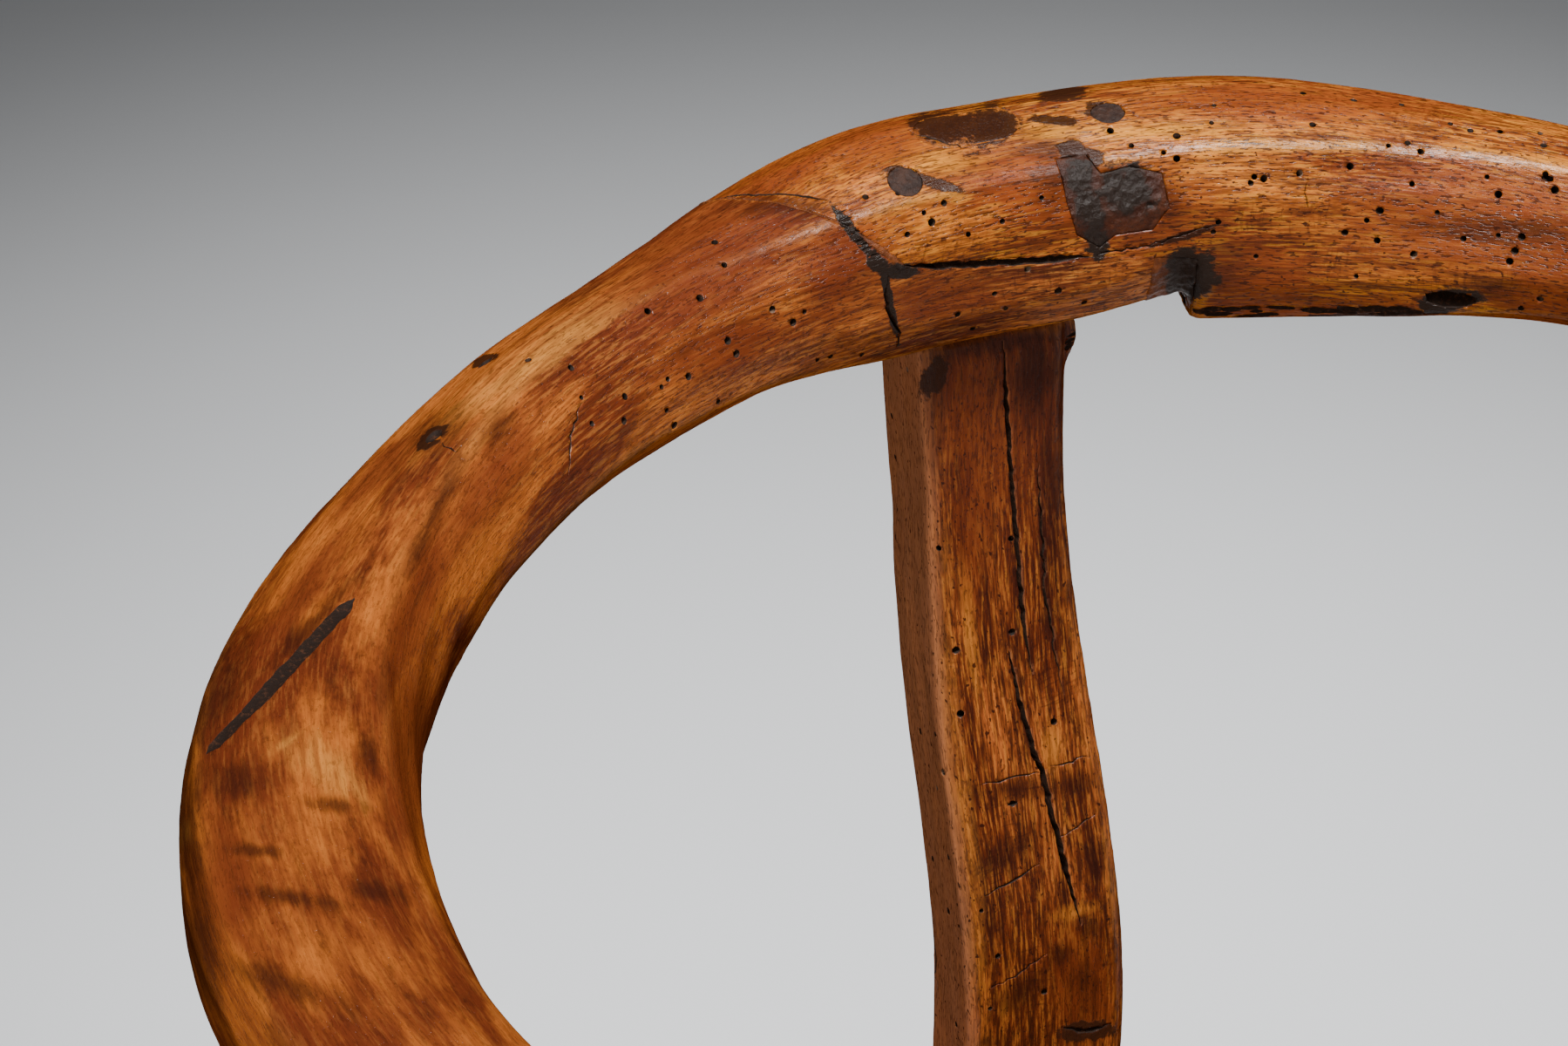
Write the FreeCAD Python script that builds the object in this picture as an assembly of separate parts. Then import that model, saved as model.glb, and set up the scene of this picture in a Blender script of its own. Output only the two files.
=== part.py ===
"""Rustic three-legged armchair, hewn from grown branches.

A slab seat stands on three splayed legs. Three bent posts rise from it and carry a horseshoe
rail, which is two grown branches lapped over the rear post. Every leg and post goes through the
seat in a round tenon that is spread by a wedge, and every post goes through the rail in an oblong
one. Two pegs pin the lap, and dark filler closes its shoulder, the end of its tongue and a flaw.

Millimetres, +Z up, floor at Z = 0. The sitter faces -Y, and "left" is the -X side. Plan angles
are measured at the axis of the horseshoe, from the back (+Y), positive towards +X.
"""

import FreeCAD
import Part
import math
import os
from collections import namedtuple

Vector = FreeCAD.Vector
UP = Vector(0, 0, 1)

# Seat slab: a half round at the back, straight sides, rounded front corners.
SEAT_TOP = 420.0
SEAT_THICKNESS = 46.0
SEAT_BACK_RADIUS = 215.0
SEAT_FRONT_REACH = 150.0
SEAT_CORNER_RADIUS = 55.0
SEAT_TOP_CHAMFER = 4.0
SEAT_UNDER_CHAMFER = 14.0

# Legs: hewn to eight sides, splayed, slightly bowed, round tenon through the seat.
LEG_ANGLES = {"rear": 0.0, "left": -124.0, "right": 124.0}
LEG_SOCKET_INSET = 95.0
LEG_SPLAY = 128.0
LEG_FOOT_SIZE = 36.0
LEG_KNEE_SIZE = 44.0
LEG_SHOULDER_SIZE = 47.0
LEG_KNEE_SHARE = 0.55
LEG_BOW = 7.0
LEG_CHAMFER_SHARE = 0.24
LEG_TENON_RADIUS = 16.0

# Rail: its centre line is a circle, and its section changes from station to station.
RAIL_RADIUS = 230.0
RAIL_HEIGHT = 720.0
RAIL_WIDTH = 50.0
RAIL_DEPTH = 57.0
RAIL_CORNER_SHARE = 0.7
RAIL_CORNER_FLATS = 2

# A station of the rail: plan angle, shares of the rail's width and depth, shift outward, lift, and
# roll, which turns the upper inner edge of the section outward, in degrees.
Station = namedtuple("Station", "angle width depth outward lift roll")

LEFT_ARM_STATIONS = [
    Station(18, 0.96, 0.81, 0.0, 4.5, 0),
    Station(9, 1.00, 0.93, 0.0, 3.3, 0),
    Station(0, 1.00, 1.00, 0.0, 1.7, 0),
    Station(-7, 1.00, 1.00, 0.0, 1.7, 0),
    Station(-12, 1.00, 0.93, 0.0, 0.8, 4),
    Station(-18, 0.96, 0.82, -0.5, -1.0, 14),
    Station(-25, 0.92, 0.76, -2.0, -3.0, 26),
    Station(-34, 0.90, 0.73, -3.0, -3.5, 32),
    Station(-44, 0.90, 0.70, -4.0, -3.5, 30),
    Station(-54, 0.90, 0.69, -3.5, -3.0, 22),
    Station(-64, 0.92, 0.74, -2.0, -1.5, 12),
    Station(-73, 0.98, 0.79, 0.0, 0.0, 4),
    Station(-83, 1.04, 0.81, 1.5, 0.0, 0),
    Station(-94, 1.01, 0.79, 2.0, 0.0, 0),
    Station(-105, 0.98, 0.76, 1.5, -0.3, 0),
    Station(-117, 0.94, 0.72, 0.0, -1.0, 0),
]
RIGHT_ARM_STATIONS = [
    Station(-26, 0.92, 0.76, -2.0, -3.0, 26),
    Station(-18, 0.96, 0.82, -0.5, -1.0, 14),
    Station(-12, 1.00, 0.93, 0.0, 0.8, 4),
    Station(-7, 1.00, 1.00, 0.0, 1.7, 0),
    Station(0, 1.00, 1.00, 0.0, 1.7, 0),
    Station(8, 1.00, 1.03, 0.0, 1.8, 0),
    Station(15, 1.00, 1.07, 0.0, 1.4, 2),
    Station(21, 1.00, 1.05, 0.0, 0.6, 5),
    Station(27, 0.98, 1.00, 0.0, -0.4, 10),
    Station(33, 0.94, 0.92, 0.0, 0.0, 14),
    Station(40, 0.90, 0.85, 0.0, 0.0, 16),
    Station(50, 0.86, 0.75, -2.0, -2.0, 14),
    Station(61, 0.88, 0.74, -2.0, -1.5, 8),
    Station(72, 0.96, 0.79, 0.0, 0.0, 3),
    Station(83, 1.04, 0.81, 1.5, 0.0, 0),
    Station(94, 1.01, 0.79, 2.0, 0.0, 0),
    Station(105, 0.98, 0.76, 1.5, -0.3, 0),
    Station(117, 0.94, 0.72, 0.0, -1.0, 0),
]
# The hand end of each arm rounds off past its last station, over this much plan angle.
ARM_END_ROUND = 6.5
ARM_END_SHARES = ((0.5, 0.92), (1.0, 0.55))

# Lap of the two arms over the rear post. The left arm keeps a tongue below, the right one above.
LAP_HEIGHT = 4.5
LAP_SLOPE = -8.0
LAP_SHOULDER_LOW_ANGLE = -8.5
LAP_SHOULDER_TOP_ANGLE = -12.5
LAP_SHOULDER_OUTER_ANGLE = -19.5
LAP_TIP_ANGLE = 13.5
LAP_GAP = 0.2

# Filler: a seam that opens down the shoulder, a lump past the tongue's tip, and a patch let into the
# inner face of the right arm. The patch's outline runs along the rail and up its face, from its middle.
SHOULDER_SEAM = 2.6
TIP_FILL_ANGLE = 3.2
PATCH_ANGLE = 7.5
PATCH_INWARD = 24.0
PATCH_LIFT = 16.0
PATCH_TILT = 15.0
PATCH_DEPTH = 4.5
PATCH_OUTLINE = [
    (-15, 12), (-7, 12.5), (-4, 8), (4, 9), (12, 6.5), (13.5, -2.5),
    (9.5, -8.5), (-0.5, -9), (-4.5, -12), (-11, -7.5), (-13.5, 1.5),
]

# Pegs through the lap: plan angle and shift outward from the rail's centre line.
PEG_RADIUS = 4.5
PEG_PLACES = {"left": (-7.3, -14.0), "right": (8.0, -4.0)}

# Posts: four-sided with eased corners, upright at both ends and bent between.
POST_ANGLES = {"rear": 0.0, "left": -110.0, "right": 110.0}
POST_FOOT_INSET = 25.0
POST_HEAD_OUTWARD = 3.0
POST_WIDTH = 40.0
POST_DEPTH = 34.0
POST_CHAMFER = 3.5
POST_TENON_RADIUS = 13.0
POST_HEAD_TENON_LENGTH = 28.0
POST_HEAD_TENON_WIDTH = 16.0
POST_HEAD_TENON_SHIFTS = {"rear": -5.0, "left": 0.0, "right": 0.0}

# A splintered lip at the head of the rear post, past its side.
POST_LIP_REACH = 4.0
POST_LIP_DROP = 13.0
POST_LIP_RISE = 6.0

# A station of a post: share of its height, shares of the posts' width and depth, share of its
# lean, and sideways bend.
PostStation = namedtuple("PostStation", "height width depth lean bend")
REAR_POST_STATIONS = [
    PostStation(0.00, 1.22, 0.97, 0.00, 4.0),
    PostStation(0.18, 1.20, 0.95, 0.00, 5.5),
    PostStation(0.34, 1.15, 1.00, 0.10, 5.0),
    PostStation(0.54, 1.07, 1.15, 0.58, 2.5),
    PostStation(0.75, 0.99, 1.10, 0.95, 1.0),
    PostStation(0.88, 0.99, 1.06, 1.00, 0.5),
    PostStation(1.00, 1.00, 1.06, 1.00, 0.0),
]
ARM_POST_STATIONS = [
    PostStation(0.00, 1.00, 0.97, 0.00, 0.0),
    PostStation(0.20, 0.95, 0.94, 0.04, 2.0),
    PostStation(0.45, 0.90, 0.96, 0.40, 4.0),
    PostStation(0.70, 0.88, 0.96, 0.85, 2.5),
    PostStation(0.88, 0.90, 0.94, 1.00, 0.0),
    PostStation(1.00, 0.90, 0.94, 1.00, 0.0),
]

# Wedges that spread the tenons.
WEDGE_DEPTH = 30.0
WEDGE_HEAD = 4.0
WEDGE_TIP = 1.0

# Room round a tenon or peg in its hole, on each side.
FIT_GAP = 0.1

SEAT_UNDERSIDE = SEAT_TOP - SEAT_THICKNESS
LEG_SOCKET_RADIUS = SEAT_BACK_RADIUS - LEG_SOCKET_INSET
LEG_FOOT_RADIUS = LEG_SOCKET_RADIUS + LEG_SPLAY
POST_FOOT_RADIUS = SEAT_BACK_RADIUS - POST_FOOT_INSET
RAIL_FLOOR = RAIL_HEIGHT - RAIL_DEPTH
RAIL_CEILING = RAIL_HEIGHT + RAIL_DEPTH
REACH = 4.0 * (RAIL_RADIUS + SEAT_BACK_RADIUS)


def around(angle):
    """Unit vector in plan at an angle from the back."""
    turn = math.radians(angle)
    return Vector(math.sin(turn), math.cos(turn), 0)


def across(angle):
    """Unit vector in plan along the rail, towards growing angles."""
    turn = math.radians(angle)
    return Vector(math.cos(turn), -math.sin(turn), 0)


def polar(radius, angle, height):
    return around(angle) * radius + UP * height


def quarter_turns(u, v, count):
    """A flat point turned a quarter circle counterclockwise, count times."""
    for _ in range(count):
        u, v = -v, u
    return u, v


def half_space(point, normal):
    """A large block that fills the side of a plane that the normal points to."""
    block = Part.makeBox(REACH, REACH, REACH, Vector(-REACH / 2, -REACH / 2, 0))
    block.Placement = FreeCAD.Placement(point, FreeCAD.Rotation(UP, normal))
    return block


def slab(low, high):
    """A large block between two heights."""
    return Part.makeBox(REACH, REACH, high - low, Vector(-REACH / 2, -REACH / 2, low))


def loft(wires):
    return Part.makeLoft(wires, True, False)


# Rail


def rail_section(station):
    """Outline of the rail at a station: four hewn flats with each corner eased by short flats."""
    outward = around(station.angle)
    centre = polar(RAIL_RADIUS + station.outward, station.angle, RAIL_HEIGHT + station.lift)
    roll = math.radians(station.roll)
    half_width = RAIL_WIDTH * station.width / 2
    half_depth = RAIL_DEPTH * station.depth / 2
    radius = RAIL_CORNER_SHARE * min(half_width, half_depth)
    points = []
    for turn in range(4):
        reach, spread = (half_width, half_depth) if turn % 2 == 0 else (half_depth, half_width)
        for step in range(RAIL_CORNER_FLATS + 1):
            bend = math.pi / 2 * step / RAIL_CORNER_FLATS
            u = reach - radius + radius * math.cos(bend)
            v = spread - radius + radius * math.sin(bend)
            u, v = quarter_turns(u, v, turn)
            side = u * math.cos(roll) + v * math.sin(roll)
            rise = v * math.cos(roll) - u * math.sin(roll)
            points.append(centre + outward * side + UP * rise)
    return Part.makePolygon(points + points[:1])


def rail_branch(stations):
    """A whole branch before its joints are cut, with its hand end rounded off."""
    last = stations[-1]
    turn = math.copysign(ARM_END_ROUND, last.angle)
    ends = [
        last._replace(
            angle=last.angle + turn * along,
            width=last.width * share,
            depth=last.depth * share,
        )
        for along, share in ARM_END_SHARES
    ]
    ordered = sorted(stations + ends, key=lambda s: s.angle)
    return loft([rail_section(s) for s in ordered])


def lap_plane():
    """Point and upward normal of the lap's face, which slopes along the rail."""
    slope = math.radians(LAP_SLOPE)
    along = across(POST_ANGLES["rear"])
    point = polar(RAIL_RADIUS, POST_ANGLES["rear"], RAIL_HEIGHT + LAP_HEIGHT)
    return point, UP * math.cos(slope) - along * math.sin(slope)


def shoulder_plane(seam):
    """Point and normal, towards +X, of the slanting shoulder, moved over at its foot by a seam."""
    inner_radius = RAIL_RADIUS - RAIL_WIDTH / 2
    outer_radius = RAIL_RADIUS + RAIL_WIDTH / 2
    crest = RAIL_HEIGHT + RAIL_DEPTH / 2
    low_angle = LAP_SHOULDER_LOW_ANGLE + math.degrees(seam / inner_radius)
    low = polar(inner_radius, low_angle, RAIL_HEIGHT + LAP_HEIGHT)
    top = polar(inner_radius, LAP_SHOULDER_TOP_ANGLE, crest)
    outer = polar(outer_radius, LAP_SHOULDER_OUTER_ANGLE, crest)
    normal = (top - low).cross(outer - low)
    normal.normalize()
    return low, normal if normal.x > 0 else normal * -1


def tip_plane(angle):
    """Point and normal, towards +X, of a radial cut at the end of the left arm's tongue."""
    return polar(RAIL_RADIUS, angle, RAIL_HEIGHT), across(angle)


def lap_sides(gap, seam):
    """The spaces above and below the lap, and on both sides of its shoulder, a gap apart."""
    lap, lap_up = lap_plane()
    left_shoulder, left_normal = shoulder_plane(0.0)
    right_shoulder, right_normal = shoulder_plane(seam)
    return {
        "above": half_space(lap, lap_up),
        "below": half_space(lap + lap_up * gap, lap_up * -1),
        "right": half_space(left_shoulder, left_normal),
        "left": half_space(right_shoulder + right_normal * gap, right_normal * -1),
    }


def lapped_arms(left_branch, right_branch, gap, seam, tip_fill):
    """The two branches with the lap cut in them, with a gap between and room for filler."""
    sides = lap_sides(gap, seam)
    past_tongue = half_space(*tip_plane(LAP_TIP_ANGLE - tip_fill))
    tip, tip_right = tip_plane(LAP_TIP_ANGLE)
    before_tip = half_space(tip + tip_right * gap, tip_right * -1)
    left = left_branch.cut(past_tongue).cut(sides["above"].common(sides["right"]))
    right = right_branch.cut(sides["left"].common(before_tip)).cut(sides["below"].common(before_tip))
    return left, right


def lap_fillers(left_branch, right_branch):
    """The filler in the seam of the shoulder, and the lump past the tongue's tip."""
    sides = lap_sides(LAP_GAP, SHOULDER_SEAM)
    past_tongue = half_space(*tip_plane(LAP_TIP_ANGLE - TIP_FILL_ANGLE))
    past_tip = half_space(*tip_plane(LAP_TIP_ANGLE))
    upper = right_branch.cut(sides["below"]).cut(past_tip)
    seam = upper.common(sides["right"]).common(sides["left"])
    lump = left_branch.cut(sides["above"]).common(past_tongue).cut(past_tip)
    return seam, lump


def patch_block():
    """The prism that lets the filler patch into the right arm, its floor across the rail's face."""
    tilt = math.radians(PATCH_TILT)
    outward = around(PATCH_ANGLE)
    along = across(PATCH_ANGLE)
    facing = UP * math.sin(tilt) - outward * math.cos(tilt)
    rise = UP * math.cos(tilt) + outward * math.sin(tilt)
    middle = polar(RAIL_RADIUS - PATCH_INWARD, PATCH_ANGLE, RAIL_HEIGHT + PATCH_LIFT)
    floor = middle - facing * PATCH_DEPTH
    points = [floor + along * u + rise * v for u, v in PATCH_OUTLINE]
    return Part.Face(Part.makePolygon(points + points[:1])).extrude(facing * RAIL_WIDTH)


# Tenons and wedges


def obround(length, width, centre, angle, low, high):
    """Upright prism with round ends, its length along the rail."""
    along = across(angle)
    outward = around(angle)
    flat = (length - width) / 2
    half = width / 2
    base = Vector(centre.x, centre.y, low)
    corners = [
        base + along * (flat * a) + outward * (half * b)
        for a, b in ((-1, -1), (1, -1), (1, 1), (-1, 1))
    ]
    edges = [
        Part.LineSegment(corners[0], corners[1]).toShape(),
        Part.Arc(corners[1], base + along * (flat + half), corners[2]).toShape(),
        Part.LineSegment(corners[2], corners[3]).toShape(),
        Part.Arc(corners[3], base - along * (flat + half), corners[0]).toShape(),
    ]
    return Part.Face(Part.Wire(edges)).extrude(UP * (high - low))


def wedge_block(end, inward, along, span):
    """A tapered block whose thick end is at the tenon's end, and which spans the tenon."""
    side = inward.cross(along)
    side.normalize()
    taper = (WEDGE_HEAD - WEDGE_TIP) / WEDGE_DEPTH
    lead = WEDGE_DEPTH / 2
    outline = [
        (-lead, (WEDGE_HEAD + taper * lead) / 2),
        (WEDGE_DEPTH, WEDGE_TIP / 2),
        (WEDGE_DEPTH, -WEDGE_TIP / 2),
        (-lead, -(WEDGE_HEAD + taper * lead) / 2),
    ]
    start = end - along * span
    points = [start + inward * depth + side * half for depth, half in outline]
    return Part.Face(Part.makePolygon(points + points[:1])).extrude(along * (2 * span))


def inside(prism, solids):
    """The part of a prism that lies in any of some solids that meet each other."""
    shares = [prism.common(solid) for solid in solids]
    whole = shares[0]
    for share in shares[1:]:
        whole = whole.fuse(share)
    return whole.removeSplitter()


def split_tenon(tenon, block):
    """The tenon with its slot, and the wedge that fills the slot."""
    return tenon.cut(block), tenon.common(block)


# Seat


def seat_blank():
    """The slab before its holes are bored."""
    back = SEAT_BACK_RADIUS
    corner = SEAT_CORNER_RADIUS
    front = -SEAT_FRONT_REACH
    bend = corner * (1 - math.sqrt(0.5))
    z = SEAT_UNDERSIDE
    edges = [
        Part.Arc(Vector(-back, 0, z), Vector(0, back, z), Vector(back, 0, z)).toShape(),
        Part.LineSegment(Vector(back, 0, z), Vector(back, front + corner, z)).toShape(),
        Part.Arc(
            Vector(back, front + corner, z),
            Vector(back - bend, front + bend, z),
            Vector(back - corner, front, z),
        ).toShape(),
        Part.LineSegment(Vector(back - corner, front, z), Vector(corner - back, front, z)).toShape(),
        Part.Arc(
            Vector(corner - back, front, z),
            Vector(bend - back, front + bend, z),
            Vector(-back, front + corner, z),
        ).toShape(),
        Part.LineSegment(Vector(-back, front + corner, z), Vector(-back, 0, z)).toShape(),
    ]
    blank = Part.Face(Part.Wire(edges)).extrude(UP * SEAT_THICKNESS)
    rim = [e for e in blank.Edges if e.BoundBox.ZMin > SEAT_TOP - FIT_GAP]
    blank = blank.makeChamfer(SEAT_TOP_CHAMFER, rim)
    rim = [e for e in blank.Edges if e.BoundBox.ZMax < SEAT_UNDERSIDE + FIT_GAP]
    return blank.makeChamfer(SEAT_UNDER_CHAMFER, rim)


# Legs


def leg_axis(angle):
    """Where a leg's axis meets the floor and the seat's top."""
    return polar(LEG_FOOT_RADIUS, angle, 0), polar(LEG_SOCKET_RADIUS, angle, SEAT_TOP)


def leg_section(angle, share, size):
    """Level eight-sided outline of a leg at a share of its height below the seat."""
    foot, socket = leg_axis(angle)
    height = SEAT_UNDERSIDE * share
    centre = foot + (socket - foot) * (height / SEAT_TOP)
    centre += around(angle) * (LEG_BOW * math.sin(math.pi * share))
    return chamfered_outline(centre, angle, size, size, size * LEG_CHAMFER_SHARE)


def chamfered_outline(centre, angle, width, depth, chamfer):
    """Level rectangle with cut corners, its width along the rail at that angle."""
    along = across(angle)
    outward = around(angle)
    a, b = width / 2, depth / 2
    corners = [
        (a - chamfer, -b), (a, chamfer - b), (a, b - chamfer), (a - chamfer, b),
        (chamfer - a, b), (-a, b - chamfer), (-a, chamfer - b), (chamfer - a, -b),
    ]
    points = [centre + along * u + outward * v for u, v in corners]
    return Part.makePolygon(points + points[:1])


def leg_pieces(angle):
    """A leg, its wedge, and the bore that its tenon needs."""
    foot, socket = leg_axis(angle)
    axis = socket - foot
    axis.normalize()
    sizes = ((0.0, LEG_FOOT_SIZE), (LEG_KNEE_SHARE, LEG_KNEE_SIZE), (1.0, LEG_SHOULDER_SIZE))
    body = loft([leg_section(angle, share, size) for share, size in sizes])
    start = socket - axis * (2 * SEAT_THICKNESS)
    bore = Part.makeCylinder(LEG_TENON_RADIUS + FIT_GAP, 4 * SEAT_THICKNESS, start, axis)
    tenon = Part.makeCylinder(LEG_TENON_RADIUS, 4 * SEAT_THICKNESS, start, axis)
    tenon = tenon.common(slab(SEAT_UNDERSIDE, SEAT_TOP))
    block = wedge_block(socket, axis * -1, across(angle), LEG_TENON_RADIUS * 2)
    tenon, wedge = split_tenon(tenon, block)
    return body.fuse(tenon).removeSplitter(), wedge, bore


# Posts


def post_axis(angle):
    """Foot on the seat's top, and head on the rail's centre line."""
    return (
        polar(POST_FOOT_RADIUS, angle, SEAT_TOP),
        polar(RAIL_RADIUS + POST_HEAD_OUTWARD, angle, RAIL_HEIGHT),
    )


def post_section(angle, station):
    foot, head = post_axis(angle)
    centre = foot + around(angle) * ((head - foot).dot(around(angle)) * station.lean)
    centre += UP * ((head - foot).z * station.height) + across(angle) * station.bend
    width = POST_WIDTH * station.width
    depth = POST_DEPTH * station.depth
    return chamfered_outline(centre, angle, width, depth, POST_CHAMFER)


def post_foot(foot, along):
    """The round tenon below a post, its wedge, and the bore that it needs."""
    end = foot - UP * SEAT_THICKNESS
    bore = Part.makeCylinder(POST_TENON_RADIUS + FIT_GAP, 2 * SEAT_THICKNESS, end - UP * FIT_GAP)
    tenon = Part.makeCylinder(POST_TENON_RADIUS, SEAT_THICKNESS, end)
    tenon, wedge = split_tenon(tenon, wedge_block(end, UP, along, 2 * POST_TENON_RADIUS))
    return tenon, wedge, bore


def post_head(head, angle, rails):
    """The oblong tenon above a post, and the mortise that it needs."""
    length, width = POST_HEAD_TENON_LENGTH, POST_HEAD_TENON_WIDTH
    room = 2 * FIT_GAP
    mortise = obround(length + room, width + room, head, angle, RAIL_FLOOR, RAIL_CEILING)
    tenon = inside(obround(length, width, head, angle, RAIL_FLOOR, RAIL_CEILING), rails)
    return tenon, mortise


def post_lip(angle, station):
    """The lip past the side of a post's head, as deep as the post between its eased corners."""
    along = across(angle)
    outward = around(angle)
    half_depth = POST_DEPTH * station.depth / 2 - POST_CHAMFER
    side = POST_WIDTH * station.width / 2
    under_rail = polar(RAIL_RADIUS + POST_HEAD_OUTWARD, angle, RAIL_HEIGHT - RAIL_DEPTH / 2)
    start = under_rail + along * (side + station.bend) - outward * half_depth
    outline = [
        start - UP * POST_LIP_DROP - along * POST_CHAMFER,
        start - UP * POST_LIP_DROP,
        start + along * POST_LIP_REACH - UP * (POST_LIP_DROP / 3),
        start + along * (POST_LIP_REACH / 2) + UP * POST_LIP_RISE,
        start + UP * POST_LIP_RISE - along * POST_CHAMFER,
    ]
    return Part.Face(Part.makePolygon(outline + outline[:1])).extrude(outward * (2 * half_depth))


def post_pieces(angle, stations, tenon_shift, rails, lipped):
    """A post coped to the underside of the rail, the wedge of its foot, and its two holes."""
    along = across(angle)
    foot = post_axis(angle)[0] + along * stations[0].bend
    head = polar(RAIL_RADIUS, angle, RAIL_HEIGHT) + along * tenon_shift
    foot_tenon, foot_wedge, bore = post_foot(foot, along)
    head_tenon, mortise = post_head(head, angle, rails)
    body = loft([post_section(angle, s) for s in stations])
    if lipped:
        body = body.fuse(post_lip(angle, stations[-1]))
    for rail in rails:
        body = body.cut(rail)
    body = max(body.Solids, key=lambda solid: solid.Volume)
    post = body.fuse([head_tenon, foot_tenon]).removeSplitter()
    return post, foot_wedge, bore, mortise


# Assembly


def build():
    """Every piece by name, in the frame of the horseshoe's axis."""
    pieces = {}
    left_branch = rail_branch(LEFT_ARM_STATIONS)
    right_branch = rail_branch(RIGHT_ARM_STATIONS)
    closed_lap = lapped_arms(left_branch, right_branch, 0.0, 0.0, 0.0)
    rails = {"rear": closed_lap, "left": [left_branch], "right": [right_branch]}
    left_arm, right_arm = lapped_arms(left_branch, right_branch, LAP_GAP, SHOULDER_SEAM, TIP_FILL_ANGLE)
    pieces["shoulder_filler"], pieces["tip_filler"] = lap_fillers(left_branch, right_branch)
    patch = patch_block()
    pieces["patch_filler"] = right_arm.common(patch)
    right_arm = right_arm.cut(patch)
    seat = seat_blank()

    for name, angle in LEG_ANGLES.items():
        pieces[name + "_leg"], pieces[name + "_leg_wedge"], bore = leg_pieces(angle)
        seat = seat.cut(bore)

    for name, angle in POST_ANGLES.items():
        stations = REAR_POST_STATIONS if name == "rear" else ARM_POST_STATIONS
        shift = POST_HEAD_TENON_SHIFTS[name]
        post, foot_wedge, bore, mortise = post_pieces(
            angle, stations, shift, rails[name], name == "rear"
        )
        pieces[name + "_post"] = post
        pieces[name + "_post_foot_wedge"] = foot_wedge
        seat = seat.cut(bore)
        left_arm = left_arm.cut(mortise)
        right_arm = right_arm.cut(mortise)

    for name, (angle, shift) in PEG_PLACES.items():
        place = polar(RAIL_RADIUS + shift, angle, RAIL_FLOOR)
        peg = Part.makeCylinder(PEG_RADIUS, RAIL_CEILING - RAIL_FLOOR, place)
        pieces[name + "_lap_peg"] = inside(peg, closed_lap)
        hole = Part.makeCylinder(PEG_RADIUS + FIT_GAP, RAIL_CEILING - RAIL_FLOOR, place)
        left_arm = left_arm.cut(hole)
        right_arm = right_arm.cut(hole)

    pieces["seat"] = seat
    pieces["left_arm_rail"] = left_arm
    pieces["right_arm_rail"] = right_arm
    return pieces


def main():
    """Centres the chair's footprint on the origin and writes one file for each piece."""
    pieces = build()
    box = FreeCAD.BoundBox()
    for shape in pieces.values():
        box.add(shape.optimalBoundingBox(False, False))
    shift = Vector(-box.Center.x, -box.Center.y, 0)
    os.makedirs("parts", exist_ok=True)
    for name, shape in sorted(pieces.items()):
        shape.translate(shift)
        shape.exportStep("parts/" + name + ".step")
        print(name, len(shape.Solids), shape.isValid(), round(shape.Volume))
    print("axis of the horseshoe", shift)
    print("overall", box.XLength, box.YLength, box.ZLength)


main()
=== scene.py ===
"""Looks of the rustic tripod armchair: hewn, worm-eaten, waxed wood in soft studio light."""

import math
import random
from collections import namedtuple

import bmesh
import bpy
import numpy as np
from mathutils import Matrix, Vector, noise
from mathutils.bvhtree import BVHTree
from mathutils.kdtree import KDTree


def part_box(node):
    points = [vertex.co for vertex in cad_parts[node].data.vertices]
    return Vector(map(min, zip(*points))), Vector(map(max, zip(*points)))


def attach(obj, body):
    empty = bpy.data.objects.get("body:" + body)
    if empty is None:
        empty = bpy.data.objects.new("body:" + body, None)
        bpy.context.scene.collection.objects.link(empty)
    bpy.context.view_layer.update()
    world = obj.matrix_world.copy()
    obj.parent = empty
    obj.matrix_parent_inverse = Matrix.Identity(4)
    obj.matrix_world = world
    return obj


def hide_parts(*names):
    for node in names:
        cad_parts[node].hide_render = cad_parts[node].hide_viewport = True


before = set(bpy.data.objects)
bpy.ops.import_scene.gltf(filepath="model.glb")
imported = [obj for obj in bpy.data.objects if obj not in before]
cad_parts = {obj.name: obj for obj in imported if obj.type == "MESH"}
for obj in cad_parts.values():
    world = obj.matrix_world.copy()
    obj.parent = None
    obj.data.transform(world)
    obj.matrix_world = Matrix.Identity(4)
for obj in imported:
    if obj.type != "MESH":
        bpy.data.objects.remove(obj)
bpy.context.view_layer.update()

# The horseshoe rail: its axis lies the seat's back radius in front of the seat's rearmost point.
MM = 0.001
UP = Vector((0.0, 0.0, 1.0))
SEAT_BACK_RADIUS = 0.215
RAIL_RADIUS = 0.230
RAIL_HEIGHT = 0.720
RING = Vector((0.0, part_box("seat")[1].y - SEAT_BACK_RADIUS, RAIL_HEIGHT))

# Camera of the photograph, in its pixels.
PHOTO_WIDTH = 1799
PHOTO_HEIGHT = 1200
FOCAL_PIXELS = 5000.0
CAMERA_PITCH = math.radians(35.0)
CAMERA_HEADING = math.atan2(0.325, 0.946)
EYE = RING + Vector((-0.3642, -0.6723, 0.586))
LOOK = Vector((
    math.sin(CAMERA_HEADING) * math.cos(CAMERA_PITCH),
    math.cos(CAMERA_HEADING) * math.cos(CAMERA_PITCH),
    -math.sin(CAMERA_PITCH),
))
CAMERA_RIGHT = Vector((math.cos(CAMERA_HEADING), -math.sin(CAMERA_HEADING), 0.0))
CAMERA_UP = CAMERA_RIGHT.cross(LOOK)

# What is worked as one skin before it is parted: the rail with all that is let into it.
RAIL_NODES = (
    "left_arm_rail", "right_arm_rail", "shoulder_filler", "tip_filler", "patch_filler",
    "left_lap_peg", "right_lap_peg",
)
POST_NODES = ("rear_post", "left_post", "right_post")
TENON_ROOT = RAIL_HEIGHT - 5 * MM
TENON_TOP = RAIL_HEIGHT + 8 * MM

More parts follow.
